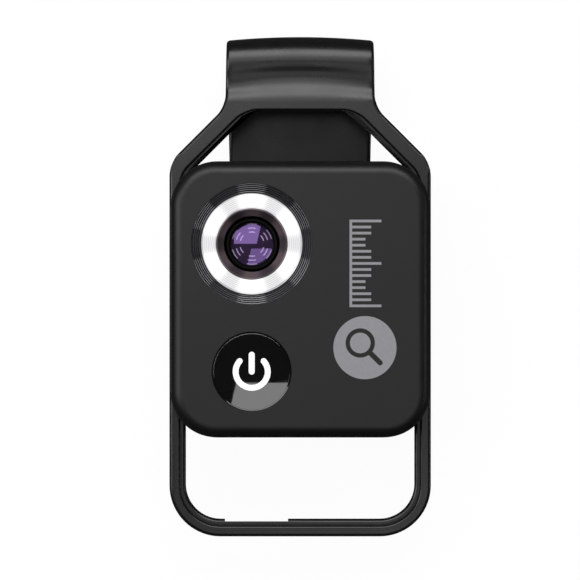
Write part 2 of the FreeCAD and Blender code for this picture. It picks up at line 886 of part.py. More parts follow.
def make_optics():
    """The barrel, its lenses with what holds them apart, and the soft ring behind."""
    top = case_front - size.hood_setback
    throat = top - size.hood_depth
    flange_top = barrel_seat_face + size.barrel_flange_thick
    seat = plate_joint + size.barrel_rear_wall
    clear_radius = size.lens_radius - size.lens_rim
    turned("lens_barrel", *lens_spot, [
        (size.eyepiece_radius, plate_joint),
        (size.barrel_radius, plate_joint),
        (size.barrel_radius, barrel_seat_face),
        (size.barrel_flange_radius, barrel_seat_face),
        (size.barrel_flange_radius, flange_top),
        (size.hood_radius, flange_top),
        (size.hood_radius, top),
        (size.hood_mouth_radius, top),
        (size.hood_throat_radius, throat),
        (size.barrel_bore, throat),
        (size.barrel_bore, seat),
        (clear_radius, seat),
    ])

    retainer_top = throat - size.retainer_setback
    retainer_low = retainer_top - size.retainer_height
    bevel = size.retainer_bevel
    turned("lens_retainer", *lens_spot, [
        (clear_radius, retainer_low),
        (size.lens_radius, retainer_low),
        (size.lens_radius, retainer_top),
        (clear_radius + bevel, retainer_top),
        (clear_radius, retainer_top - bevel),
    ])
    front_low = retainer_low - size.front_lens_edge
    make_lens("front_lens", front_low, size.front_lens_edge, size.front_lens_sag)
    make_lens("rear_lens", seat, size.rear_lens_edge, size.rear_lens_sag)

    low = seat + size.rear_lens_edge
    middle = (low + front_low) / 2
    turned("lens_spacer", *lens_spot, [
        (clear_radius, low),
        (size.lens_radius, low),
        (size.lens_radius, front_low),
        (clear_radius, front_low),
        (clear_radius, middle + size.stop_thick / 2),
        (size.stop_radius, middle + size.stop_thick / 2),
        (size.stop_radius, middle - size.stop_thick / 2),
        (clear_radius, middle - size.stop_thick / 2),
    ])

    ring = [
        (size.cushion_bore, frame_rear),
        (size.cushion_radius, frame_rear),
        (size.cushion_radius, frame_rear + size.cushion_thick),
        (size.cushion_bore, frame_rear + size.cushion_thick),
    ]
    turned("eyepiece_cushion", *lens_spot, bevelled(ring, {0: size.cushion_edge, 1: size.cushion_edge}))


def make_lens(name, low, edge, sag):
    """A lens bulged on both sides, with a flat rim to seat on."""
    radius = size.lens_radius
    clear_radius = radius - size.lens_rim
    bow = (clear_radius * clear_radius + sag * sag) / (sag * 2)
    corners = [
        (as_size(0), low - sag),
        (clear_radius, low),
        (radius, low),
        (radius, low + edge),
        (clear_radius, low + edge),
        (as_size(0), low + edge + sag),
    ]
    return turned(name, *lens_spot, corners, {0: bow, 4: bow})


def make_ring_light():
    """The lamps on their board, the milky ring in front of them and the turned trim round it."""
    bore = size.lamp_board_bore
    rim = size.lamp_board_radius
    turned("lamp_board", *lens_spot, [
        (bore, lamp_board_face),
        (rim, lamp_board_face),
        (rim, lamp_face),
        (bore, lamp_face),
    ])
    lamps = []
    count = int(size.lamp_count.value)
    for number in range(count):
        turn = 2 * math.pi * (number + 0.5) / count
        x = lens_x + size.lamp_ring_radius * math.cos(turn)
        y = lens_y + size.lamp_ring_radius * math.sin(turn)
        width = size.lamp_width
        lamps.append(block(f"lamp_{number + 1}", x, y, lamp_face, width, width, size.lamp_height))
    group("ring_lamps", lamps)

    inner = size.hood_radius + size.ring_clear
    flange_top = front_wall_inner - size.seat_clear
    flange_low = flange_top - size.milky_flange_thick
    top = case_front - size.milky_setback
    section = [
        (inner, flange_low),
        (size.milky_flange_radius, flange_low),
        (size.milky_flange_radius, flange_top),
        (size.milky_radius, flange_top),
        (size.milky_radius, top),
        (inner, top),
    ]
    turned("milky_ring", *lens_spot, bevelled(section, {4: size.milky_edge, 5: size.milky_edge}))

    low = case_front - size.trim_height
    bore = size.milky_radius + size.ring_clear
    pitch = size.trim_groove_pitch
    corners = [(bore, low), (size.trim_radius, low), (size.trim_radius, case_front)]
    count = int((size.trim_radius - bore).value // pitch.value)
    for number in range(count):
        middle = size.trim_radius - pitch * (number + 0.5)
        corners.append((middle + pitch / 4, case_front))
        corners.append((middle, case_front - size.trim_groove_depth))
        corners.append((middle - pitch / 4, case_front))
    corners.append((bore, case_front))
    turned("trim_ring", *lens_spot, corners)


def make_button():
    """The push button: a cap with a flange behind the wall and a stem down to the switch."""
    flange_top = front_wall_inner - size.seat_clear
    flange_low = flange_top - size.button_flange_thick
    top = case_front - size.button_setback
    stem_low = switch_top + size.plunger_stand
    profile = [
        (as_size(0), stem_low),
        (size.button_stem_radius, stem_low),
        (size.button_stem_radius, flange_low),
        (size.button_flange_radius, flange_low),
        (size.button_flange_radius, flange_top),
        (size.button_radius, flange_top),
        (size.button_radius, top),
        (as_size(0), top),
    ]
    turned("power_button", *button_spot, bevelled(profile, {6: size.button_edge}))
    plunger_low = stem_low - size.plunger_length
    keep("switch_plunger", cylinder("switch_plunger", *button_spot, plunger_low,
                                    size.plunger_radius, size.plunger_length))


def make_electronics():
    """The board with its switch, chips and charging socket, and the ribbon up to the lamps."""
    body = new_body("main_board")
    sketch = new_sketch(body, "board_outline", offset=board_low_face)
    outline(sketch, plain_box(board_left, board_low, size.board_width, board_length))
    pad(body, sketch, "board", size.board_thick)

    body = new_body("switch_body")
    width = size.switch_width
    sketch = new_sketch(body, "switch_outline", offset=board_top)
    outline(sketch, *rounded_box(*button_spot, width, width, size.switch_corner))
    pad(body, sketch, "switch", switch_top - board_top)
    depth = size.plunger_length - size.plunger_stand + size.button_travel + size.seat_clear
    bore = size.plunger_radius + size.seat_clear
    drill(body, "plunger_bore", [button_spot], bore, switch_top, depth, along=False)

    body = new_body("charging_socket")
    sketch = new_sketch(body, "socket_outline", "XZ_Plane", -socket_low)
    outer = (size.socket_width, size.socket_height, size.socket_corner)
    outline(sketch, *rounded_box(socket_x, socket_z, *outer))
    pad(body, sketch, "socket_shell", socket_length, reverse=True)
    sketch = new_sketch(body, "mouth_outline", "XZ_Plane", -socket_low)
    wall = size.socket_wall
    inner = (size.socket_width - wall * 2, size.socket_height - wall * 2, size.socket_corner - wall)
    outline(sketch, *rounded_box(socket_x, socket_z, *inner))
    pocket(body, sketch, "mouth", socket_length - wall)

    tongue_length = socket_length - wall - size.tongue_setback
    tongue_y = socket_low + size.tongue_setback + tongue_length / 2
    tongue_z = socket_z - size.tongue_thick / 2
    keep("socket_tongue", block("socket_tongue", socket_x, tongue_y, tongue_z,
                                size.tongue_width, tongue_length, size.tongue_thick))

    chips = []
    for number, (across, along, share) in enumerate(CHIPS, start=1):
        x = board_left + size.board_width * across
        y = board_low + board_length * along
        width = size.board_width * share
        chips.append(block(f"chip_{number}", x, y, board_top, width, width, size.chip_height))
    group("board_chips", chips)

    body = new_body("lamp_ribbon", lens_x, 0)
    sketch = new_sketch(body, "ribbon_path", "YZ_Plane")
    sheet_thick = size.ribbon_thick
    low = board_high - size.ribbon_lap
    riser = lens_y - size.lamp_board_radius + size.ribbon_inset
    high = lens_y - size.barrel_flange_radius - size.ring_clear
    path = [
        (low, board_top),
        (riser + sheet_thick, board_top),
        (riser + sheet_thick, lamp_board_face - sheet_thick),
        (high, lamp_board_face - sheet_thick),
        (high, lamp_board_face),
        (riser, lamp_board_face),
        (riser, board_top + sheet_thick),
        (low, board_top + sheet_thick),
    ]
    outline(sketch, path)
    item = pad(body, sketch, "ribbon", size.ribbon_width)
    item.Midplane = True


def make_battery():
    """The flat cell in its well, on a strip of foam tape."""
    x = battery_left + battery_width / 2
    y = battery_low + battery_length / 2
    body = new_body("battery_cell")
    sketch = new_sketch(body, "cell_outline", offset=well_face + size.battery_tape)
    outline(sketch, *rounded_box(x, y, battery_width, battery_length, size.battery_edge))
    pad(body, sketch, "cell", size.battery_thick)
    width = battery_width - size.battery_edge * 2
    length = battery_length - size.battery_edge * 2
    keep("battery_tape", block("battery_tape", x, y, well_face, width, length, size.battery_tape))


def make_screws():
    """The screws that clamp the plate and both shells together from behind."""
    items = []
    face = plate_rear + size.screw_head_sink
    neck = face + size.screw_head_height
    for number, (x, y) in enumerate(case_screw_spots, start=1):
        head = cylinder(f"screw_head_{number}", x, y, face, size.screw_head_radius, size.screw_head_height)
        shank = cylinder(f"screw_shank_{number}", x, y, neck, size.screw_radius, size.case_screw_length)
        screw = doc.addObject("Part::Fuse", f"case_screw_{number}")
        screw.Base = head
        screw.Tool = shank
        items.append(screw)
    group("case_screws", items)


make_clip_frame()
make_arm_pad()
make_slide_plate()
make_rear_housing()
make_front_housing()
make_optics()
make_ring_light()
make_button()
make_electronics()
make_battery()
make_screws()
doc.recompute()

for item in doc.Objects:
    if "Invalid" in item.State or "Error" in item.State:
        raise RuntimeError(f"{item.Name} could not be built")
for name, item in parts.items():
    if item.Shape.isNull() or not item.Shape.isValid():
        raise RuntimeError(f"{name} has no sound shape")

os.makedirs("parts", exist_ok=True)
for name, item in parts.items():
    item.Shape.exportStep(f"parts/{name}.step")
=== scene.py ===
"""Looks of the clip-on close-up lens: its visible pieces, their finishes and a small photo studio.

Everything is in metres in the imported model's own frame: X to the right, Y towards the bend, Z out of
the front.
"""
import math

import bmesh
import bpy
from mathutils import Matrix, Vector


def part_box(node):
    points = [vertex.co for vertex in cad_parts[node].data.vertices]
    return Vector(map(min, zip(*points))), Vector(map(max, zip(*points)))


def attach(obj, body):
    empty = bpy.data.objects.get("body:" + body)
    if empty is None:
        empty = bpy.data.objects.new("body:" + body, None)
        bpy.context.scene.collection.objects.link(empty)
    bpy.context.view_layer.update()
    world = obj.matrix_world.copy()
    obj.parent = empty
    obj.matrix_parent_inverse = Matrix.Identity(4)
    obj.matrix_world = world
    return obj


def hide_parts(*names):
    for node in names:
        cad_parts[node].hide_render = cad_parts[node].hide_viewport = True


bl_info = {
    "name": "Clip-on close-up lens",
    "version": (1, 0, 0),
    "blender": (4, 5, 0),
    "location": "3D View > Sidebar > Clip Lens",
    "description": "Builds the looks of a clip-on close-up lens around its packed model",
    "category": "Object",
}

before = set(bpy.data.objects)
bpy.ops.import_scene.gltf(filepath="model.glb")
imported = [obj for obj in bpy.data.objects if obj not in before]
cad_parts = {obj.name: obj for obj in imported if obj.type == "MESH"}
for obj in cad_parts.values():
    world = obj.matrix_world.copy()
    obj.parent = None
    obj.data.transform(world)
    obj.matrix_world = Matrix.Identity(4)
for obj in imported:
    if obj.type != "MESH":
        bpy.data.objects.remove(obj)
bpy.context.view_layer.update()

MM = 0.001
ROUND_STEPS = 128
CORNER_STEPS = 12
# A print lies this far above the face that it is on
INK = 0.01 * MM
# A cutting tool reaches this far past what it cuts
PAST = 1 * MM
# Faces that meet at more degrees than this have a crisp edge between them
CRISP = 30
# A tiny rounding in two cuts has its middle point at this share of its size from each side
TWO_CUTS = 0.3
# The lamps behind the milky ring
LAMPS = 6
# Nearly all of a noise lies between these two
NOISE_LOW, NOISE_HIGH = 0.3, 0.7
# A Mix node's colour sockets share their names with others, so they go by number
FACTOR, FIRST, SECOND, MIXED = 0, 6, 7, 2
# In moulded plastic: the size of its cloudy patches and of the marks of handling, how far its gloss
# varies, and how strongly its grain shows
CLOUD, HANDLING = 9 * MM, 5 * MM
GLOSS_VARIES = 0.03
GRAIN_SHOWS = 0.35


# Places that the model gives

def high(node):
    """The highest corner of a node's box."""
    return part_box(node)[1]


def centre(node):
    """The middle of a node's box, seen from the front."""
    start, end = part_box(node)
    return ((start.x + end.x) / 2, (start.y + end.y) / 2)


# Colours and shader nodes

def linear(code):
    """An sRGB colour, written as six hex digits, as the linear colour that a shader wants."""
    channels = []
    for start in (0, 2, 4):
        value = int(code[start:start + 2], 16) / 255
        channels.append(value / 12.92 if value <= 0.04045 else ((value + 0.055) / 1.055) ** 2.4)
    return (*channels, 1.0)


def add_node(tree, kind, settings=None, inputs=None):
    """Adds a shader node. Inputs takes a plain value, or the socket that feeds it."""
    item = tree.nodes.new(kind)
    for name, value in (settings or {}).items():
        setattr(item, name, value)
    for name, value in (inputs or {}).items():
        if isinstance(value, bpy.types.NodeSocket):
            tree.links.new(value, item.inputs[name])
        else:
            item.inputs[name].default_value = value
    return item


def new_material(name):
    """An empty node material, and the Object coordinates of its piece."""
    material = bpy.data.materials.new(name)
    material.use_nodes = True
    tree = material.node_tree
    tree.nodes.clear()
    place = add_node(tree, "ShaderNodeTexCoord").outputs["Object"]
    return material, tree, place


def uneven(tree, place, size, start, end, detail=2.0):
    """A value that wanders between start and end, in lumps about as wide as size."""
    noise = add_node(tree, "ShaderNodeTexNoise", inputs={
        "Vector": place, "Scale": 1 / size, "Detail": detail})
    value = add_node(tree, "ShaderNodeMapRange", inputs={
        "Value": noise.outputs["Fac"], "From Min": NOISE_LOW, "From Max": NOISE_HIGH,
        "To Min": start, "To Max": end})
    return value.outputs["Result"]


def two_tone(tree, place, size, code, shade):
    """Two close tones of one finish, in soft patches about as wide as size."""
    patches = uneven(tree, place, size, 0.0, 1.0)
    tone = add_node(tree, "ShaderNodeMix", {"data_type": "RGBA"}, {
        FACTOR: patches, FIRST: linear(code), SECOND: linear(shade)})
    return tone.outputs[MIXED]


def fans(tree, place, spot, start, end):
    """How far a point is from a round part's axis, and 1 in each sector that a lamp lights.

    A wave runs round the axis, with its trough at each lamp. The sector's side lies where the wave
    falls from start to end."""
    about = add_node(tree, "ShaderNodeMapping", inputs={
        "Vector": place, "Location": (-spot[0], -spot[1], 0)})
    flat = add_node(tree, "ShaderNodeVectorMath", {"operation": "MULTIPLY"}, {
        0: about.outputs["Vector"], 1: (1, 1, 0)})
    away = add_node(tree, "ShaderNodeVectorMath", {"operation": "LENGTH"}, {0: flat.outputs["Vector"]})
    parts = add_node(tree, "ShaderNodeSeparateXYZ", inputs={"Vector": flat.outputs["Vector"]})
    angle = add_node(tree, "ShaderNodeMath", {"operation": "ARCTAN2"}, {
        0: parts.outputs["Y"], 1: parts.outputs["X"]})
    turns = add_node(tree, "ShaderNodeMath", {"operation": "MULTIPLY"}, {0: angle.outputs[0], 1: LAMPS})
    wave = add_node(tree, "ShaderNodeMath", {"operation": "COSINE"}, {0: turns.outputs[0]})
    fan = add_node(tree, "ShaderNodeMapRange", {"interpolation_type": "SMOOTHSTEP"}, {
        "Value": wave.outputs[0], "From Min": start, "From Max": end, "To Min": 0.0, "To Max": 1.0})
    return away.outputs["Value"], fan.outputs["Result"]


def rings(tree, away, pitch, shape, low_part, high_part, faint=0.0):
    """Rings one pitch apart, from faint below the wave's low part to 1 above its high part."""
    turns = add_node(tree, "ShaderNodeMath", {"operation": "MULTIPLY"}, {
        0: away, 1: 2 * math.pi / pitch})
    wave = add_node(tree, "ShaderNodeMath", {"operation": shape}, {0: turns.outputs[0]})
    ring = add_node(tree, "ShaderNodeMapRange", inputs={
        "Value": wave.outputs[0], "From Min": low_part, "From Max": high_part,
        "To Min": faint, "To Max": 1.0})
    return ring.outputs["Result"]


def moulded(name, code, shade, rough, lump, depth, specular=0.5):
    """A moulded plastic: a spark-eroded grain, faint cloudy tone and uneven gloss from handling."""
    material, tree, place = new_material(name)
    grain = add_node(tree, "ShaderNodeTexNoise", inputs={
        "Vector": place, "Scale": 1 / lump, "Detail": 2.0})
    bump = add_node(tree, "ShaderNodeBump", inputs={
        "Height": grain.outputs["Fac"], "Strength": GRAIN_SHOWS, "Distance": depth})
    gloss = uneven(tree, place, HANDLING, rough - GLOSS_VARIES, rough + GLOSS_VARIES, 4.0)
    shader = add_node(tree, "ShaderNodeBsdfPrincipled", inputs={
        "Base Color": two_tone(tree, place, CLOUD, code, shade),
        "Roughness": gloss,
        "Normal": bump.outputs["Normal"],
        "IOR": 1.5,
        "Specular IOR Level": specular,
    })
    add_node(tree, "ShaderNodeOutputMaterial", inputs={"Surface": shader.outputs["BSDF"]})
    return material


def metal(name, code, rough, lump, varies=0.05):
    """A bare or plated metal with fine uneven gloss."""
    material, tree, place = new_material(name)
    shader = add_node(tree, "ShaderNodeBsdfPrincipled", inputs={
        "Base Color": linear(code),
        "Metallic": 1.0,
        "Roughness": uneven(tree, place, lump, rough - varies, rough + varies, 3.0),
    })
    add_node(tree, "ShaderNodeOutputMaterial", inputs={"Surface": shader.outputs["BSDF"]})
    return material


def ink(name, colour):
    """Pad-printed ink: flat and even, a little thinner and darker in places."""
    material, tree, place = new_material(name)
    thin_share = 0.93
    thin = (*(channel * thin_share for channel in colour[:3]), 1.0)
    patches = uneven(tree, place, 0.4 * MM, 0.0, 1.0)
    tone = add_node(tree, "ShaderNodeMix", {"data_type": "RGBA"}, {
        FACTOR: patches, FIRST: colour, SECOND: thin})
    shader = add_node(tree, "ShaderNodeBsdfPrincipled", inputs={
        "Base Color": tone.outputs[MIXED],
        "Roughness": 0.5,
        "Specular IOR Level": 0.3,
    })
    add_node(tree, "ShaderNodeOutputMaterial", inputs={"Surface": shader.outputs["BSDF"]})
    return material


# Modelling by hand: small steps that the pieces share

def select_only(piece):
    """Leaves edit mode and selects one object and nothing else."""
    if bpy.context.mode != "OBJECT":
        bpy.ops.object.mode_set(mode="OBJECT")
    bpy.ops.object.select_all(action="DESELECT")
    piece.select_set(True)
    bpy.context.view_layer.objects.active = piece


def settle(name):
    """Names the new primitive and puts its place into its mesh."""
    piece = bpy.context.object
    piece.name = piece.data.name = name
    select_only(piece)
    bpy.ops.object.transform_apply(location=True, rotation=True, scale=True)
    return piece


def edit_all(piece, kind="FACE"):
    """Enters edit mode with everything selected."""
    select_only(piece)
    bpy.ops.object.mode_set(mode="EDIT")
    bpy.ops.mesh.select_mode(type=kind)
    bpy.ops.mesh.select_all(action="SELECT")


def choose(piece, kind, test):
    """Enters edit mode with only those vertices, edges or faces selected that pass the test."""
    edit_all(piece, kind)
    bpy.ops.mesh.select_all(action="DESELECT")
    mesh = bmesh.from_edit_mesh(piece.data)
    items = {"VERT": mesh.verts, "EDGE": mesh.edges, "FACE": mesh.faces}[kind]
    for item in items:
        if test(item):
            item.select_set(True)
    mesh.select_flush_mode()
    bmesh.update_edit_mesh(piece.data)


def leave(piece):
    """Back to object mode."""
    select_only(piece)
    return piece


def close_to(a, b, slack=0.01 * MM):
    """True where two lengths are the same."""
    return abs(a - b) < slack


def flat_edge(edge, level):
    """True for an edge that lies at a level."""
    return all(close_to(vertex.co.z, level) for vertex in edge.verts)


def crease(edge):
    """True for an edge whose two faces meet crisply."""
    return edge.is_manifold and math.degrees(edge.calc_face_angle(0)) > CRISP


def round_edges(piece, test, amount, steps=3):
    """Rounds the chosen edges."""
    choose(piece, "EDGE", test)
    bpy.ops.mesh.bevel(offset=amount, segments=steps, affect="EDGES")
    return leave(piece)


def prism(name, corners, start, end, rounds=None, steps=CORNER_STEPS):
    """A flat outline raised into a solid. Rounds gives the radius of each numbered upright edge."""
    bpy.ops.object.select_all(action="DESELECT")
    bpy.ops.mesh.primitive_circle_add(vertices=len(corners), radius=MM, fill_type="NGON")
    piece = settle(name)
    for vertex, (x, y) in zip(piece.data.vertices, corners):
        vertex.co = (x, y, start)
    edit_all(piece)
    bpy.ops.mesh.extrude_region_move(TRANSFORM_OT_translate={"value": (0, 0, end - start)})
    bpy.ops.mesh.select_all(action="SELECT")
    bpy.ops.mesh.normals_make_consistent(inside=False)
    total = len(corners)
    for number, radius in (rounds or {}).items():
        here = Vector(corners[number])
        before = (here - Vector(corners[number - 1])).normalized()
        after = (Vector(corners[(number + 1) % total]) - here).normalized()
        turn = before.angle(after)

        def at_corner(edge):
            return all(close_to(v.co.x, here.x) and close_to(v.co.y, here.y) for v in edge.verts)

        count = max(4, round(steps * turn / math.radians(90)))
        round_edges(piece, at_corner, radius * math.tan(turn / 2), count)
    return leave(piece)


def slab(name, start, end, corner=0.0, steps=CORNER_STEPS):
    """A block between two corners, with four equal round upright edges."""
    corners = [(start[0], start[1]), (end[0], start[1]), (end[0], end[1]), (start[0], end[1])]
    rounds = dict.fromkeys(range(4), corner) if corner else None
    return prism(name, corners, start[2], end[2], rounds, steps)


def disc(name, spot, radius, start, end, steps=ROUND_STEPS):
    """A round block on an upright axis."""
    bpy.ops.object.select_all(action="DESELECT")
    middle = (spot[0], spot[1], (start + end) / 2)
    bpy.ops.mesh.primitive_cylinder_add(
        vertices=steps, radius=radius, depth=end - start, location=middle)
    return settle(name)


def turned(name, spot, profile, closed=True, steps=ROUND_STEPS):
    """Spins a profile of radii and heights round an upright axis."""
    bpy.ops.object.select_all(action="DESELECT")
    first = (spot[0] + profile[0][0], spot[1], profile[0][1])
    bpy.ops.mesh.primitive_plane_add(size=MM, location=first)
    piece = settle(name)
    edit_all(piece, "VERT")
    bpy.ops.mesh.merge(type="CENTER")
    for (radius, height), (next_radius, next_height) in zip(profile, profile[1:]):
        step = (next_radius - radius, 0, next_height - height)
        bpy.ops.mesh.extrude_vertices_move(TRANSFORM_OT_translate={"value": step})
    if closed:
        choose(piece, "VERT", lambda vertex: len(vertex.link_edges) == 1)
        bpy.ops.mesh.edge_face_add()
    bpy.ops.mesh.select_all(action="SELECT")
    bpy.ops.mesh.spin(steps=steps, angle=2 * math.pi, center=(*spot, 0), axis=(0, 0, 1))
    bpy.ops.mesh.select_all(action="SELECT")
    bpy.ops.mesh.remove_doubles(threshold=0.001 * MM)
    bpy.ops.mesh.normals_make_consistent(inside=False)
    return leave(piece)


def carve(piece, tool, how="DIFFERENCE"):
    """Cuts a tool out of a piece, or joins it on, and uses the tool up."""
    select_only(piece)
    bpy.ops.object.modifier_add(type="BOOLEAN")
    modifier = piece.modifiers[-1]
    modifier.object = tool
    modifier.operation = how
    modifier.solver = "EXACT"
    bpy.ops.object.modifier_apply(modifier=modifier.name)
    bpy.data.objects.remove(tool)
    return piece


def join(name, pieces):
    """Makes one object of several closed shells."""
    select_only(pieces[0])
    for piece in pieces:
        piece.select_set(True)
    bpy.ops.object.join()
    piece = bpy.context.object
    piece.name = piece.data.name = name
    return piece


def shade(piece):
    """Smooth shading with crisp edges, led by the large faces so that flats stay flat."""
    select_only(piece)
    bpy.ops.object.shade_smooth_by_angle(angle=math.radians(CRISP))
    bpy.ops.object.modifier_add(type="WEIGHTED_NORMAL")
    modifier = piece.modifiers[-1]
    modifier.weight = 100
    modifier.keep_sharp = True
    bpy.ops.object.modifier_apply(modifier=modifier.name)


def fit(piece, body, material, replaced=()):
    """Gives a finished piece its shading, finish, body and the model's nodes it stands for."""
    shade(piece)
    piece.data.materials.clear()
    piece.data.materials.append(material)
    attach(piece, body)
    if replaced:
        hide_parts(*replaced)


def paint_node(node, material):
    """Gives a node of the model, whose shape stays, a better finish."""
    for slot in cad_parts[node].material_slots:
        slot.material = material


# The clip's bend, as the model has it

class Bend:
    """The path of the strap from the frame's top edge over the phone's edge to the arm's tip.

    Path gives a point's place along the strap laid flat. The two faces of the strap follow the two
    curves that front and back give, and side tells how far out a point is from the middle."""

    # Each drop is a distance below the top of the crown
    START_DROP = 11.02
    VALLEY_DROP = 6.98
    VALLEY_SAG = 1.7
    VALLEY_DEPTH = (0.72, 0.62)
    BULGE_DROP = 3.95
    ARM_DROP = 6.45
    SAG = 0.7
    FACE = 11.4
    BULGE_FACE = 11.35
    REAR = 8.4
    WALL = 2.4
    REAR_RADIUS = 4.2
    INNER_RADIUS = 1.6
    ARM = 2.2
    # Lengths of the pieces of the path: neck, nose, back, rear turn and the run up to the arm
    LENGTHS = (7.1, 4.9, 2.9, 5.0, 1.9)
    HALF_REACH = 13.075
    # The strap draws in by this share of its width from the shoulders to the crown
    DRAW_IN = 0.012
    DRAW_RUN = 9.0

    def __init__(self, top):
        self.top = top
        self.start = top - self.START_DROP
        self.arm_start = top - self.ARM_DROP
        self.ends = [self.start]
        for length in self.LENGTHS:
            self.ends.append(self.ends[-1] + length)
        self.arm = self.ends[-1]

    @staticmethod
    def wave(along, start, end, face, drop):
        """The height of an S of two equal arcs that falls by drop from start to end."""
        length = end - start
        radius = (length ** 2 + drop ** 2) / (4 * abs(drop))
        sign = 1 if drop > 0 else -1
        if along < (start + end) / 2:
            run = along - start
            return face - sign * (radius - math.sqrt(radius ** 2 - run ** 2))
        run = end - along
        return face - drop + sign * (radius - math.sqrt(radius ** 2 - run ** 2))

    def faces(self, path, across):
        """The two points, as Y and Z, between which the strap's wall lies at a place."""
        side = min((across / self.HALF_REACH) ** 2, 1)
        top = self.top - self.SAG * side
        valley = self.top - self.VALLEY_DROP - self.VALLEY_SAG * side
        depth = self.VALLEY_DEPTH[0] + (self.VALLEY_DEPTH[1] - self.VALLEY_DEPTH[0]) * side
        bulge = self.top - self.BULGE_DROP - self.SAG / 2 * side
        if path >= self.arm:
            along = self.arm_start - (path - self.arm)
            return (along, 0), (along, self.ARM)
        number = next(n for n in range(len(self.LENGTHS)) if path < self.ends[n + 1])
        share = (path - self.ends[number]) / self.LENGTHS[number]
        inner_top = top - self.WALL
        inner_rear = self.REAR_RADIUS - self.ARM
        nose = top - bulge
        inner_nose = self.INNER_RADIUS
        if number == 0:
            along = self.start + (bulge - self.start) * share
            inside = self.start + (inner_top - inner_nose - self.start) * share
            if along < valley:
                level = self.wave(along, self.start, valley, self.FACE, depth)
            else:
                rise = self.FACE - depth - self.BULGE_FACE
                level = self.wave(along, valley, bulge, self.FACE - depth, rise)
            return (along, level), (inside, self.REAR)
        if number == 1:
            turn = share * math.pi / 2
            outer = (bulge + nose * math.sin(turn), self.BULGE_FACE - nose * (1 - math.cos(turn)))
            inner_along = inner_top - inner_nose * (1 - math.sin(turn))
            inner = (inner_along, self.REAR - inner_nose * (1 - math.cos(turn)))
            return outer, inner
        if number == 2:
            outer_start = self.BULGE_FACE - nose
            inner_start = self.REAR - inner_nose
            outer = (top, outer_start + (self.REAR_RADIUS - outer_start) * share)
            inner = (inner_top, inner_start + (self.ARM + inner_rear - inner_start) * share)
            return outer, inner
        if number == 3:
            turn = share * math.pi / 2
            radius = self.REAR_RADIUS
            outer = (top - radius * (1 - math.cos(turn)), radius * (1 - math.sin(turn)))
            inner_along = inner_top - inner_rear * (1 - math.cos(turn))
            inner = (inner_along, self.ARM + inner_rear * (1 - math.sin(turn)))
            return outer, inner
        outer_start = top - self.REAR_RADIUS
        inner_start = inner_top - inner_rear
        outer = (outer_start + (self.arm_start - outer_start) * share, 0)
        inner = (inner_start + (self.arm_start - inner_start) * share, self.ARM)
        return outer, inner

    def bent(self, point):
        """Where a point of the flat strap comes to lie, all in millimetres."""
        if point.y <= self.start:
            return point
        outer, inner = self.faces(point.y, point.x)
        share = (point.z - self.REAR) / (self.FACE - self.REAR)
        along = inner[0] + (outer[0] - inner[0]) * share
        level = inner[1] + (outer[1] - inner[1]) * share
        narrow = 1 - self.DRAW_IN * min((point.y - self.start) / self.DRAW_RUN, 1)
        return Vector((point.x * narrow, along, level))


# Sizes and colours that a user may change

class ClipLensSizes(bpy.types.PropertyGroup):
    """Sizes of the modelled details."""

    clip_edge: bpy.props.FloatProperty(
        name="Clip edge", description="Rounding of the clip's outer edges",
        default=0.6 * MM, unit="LENGTH", precision=5)
    window_edge: bpy.props.FloatProperty(
        name="Window edge", description="Rounding of the edges of the clip's windows",
        default=0.3 * MM, unit="LENGTH", precision=5)
    rail_edge: bpy.props.FloatProperty(
        name="Rail edge", description="Rounding of the front edge of the frame's inner rails",
        default=0.55 * MM, unit="LENGTH", precision=5)
    case_edge: bpy.props.FloatProperty(
        name="Case edge", description="Rounding of the front housing's front edge",
        default=2.0 * MM, unit="LENGTH", precision=5)
    rim_edge: bpy.props.FloatProperty(
        name="Rim edge", description="Rounding of the rear housing's rim",
        default=0.18 * MM, unit="LENGTH", precision=5)
    groove_pitch: bpy.props.FloatProperty(
        name="Groove pitch", description="Distance from one turned groove of the trim to the next",
        default=0.31 * MM, unit="LENGTH", precision=5)
    groove_depth: bpy.props.FloatProperty(
        name="Groove depth", description="Depth of the trim's turned grooves",
        default=0.07 * MM, unit="LENGTH", precision=5)
    strap_step: bpy.props.FloatProperty(
        name="Strap step", description="Length of the faces along the clip's bend",
        default=0.4 * MM, unit="LENGTH", precision=5)


class ClipLensColours(bpy.types.PropertyGroup):
    """Colours of the prints and the light."""

    print_white: bpy.props.FloatVectorProperty(
        name="White print", description="Colour of the sign on the button",
        subtype="COLOR", size=4, min=0, max=1, default=linear("F7F7F7"))
    print_grey: bpy.props.FloatVectorProperty(
        name="Grey print", description="Colour of the scale and the round sign",
        subtype="COLOR", size=4, min=0, max=1, default=linear("828286"))
    glow: bpy.props.FloatVectorProperty(
        name="Ring light", description="Colour of the lit milky ring",
        subtype="COLOR", size=4, min=0, max=1, default=linear("FFFFFF"))


def sizes():
    """The sizes as they are set in the scene."""
    return bpy.context.scene.clip_lens_sizes


def colours():
    """The colours as they are set in the scene."""
    return bpy.context.scene.clip_lens_colours


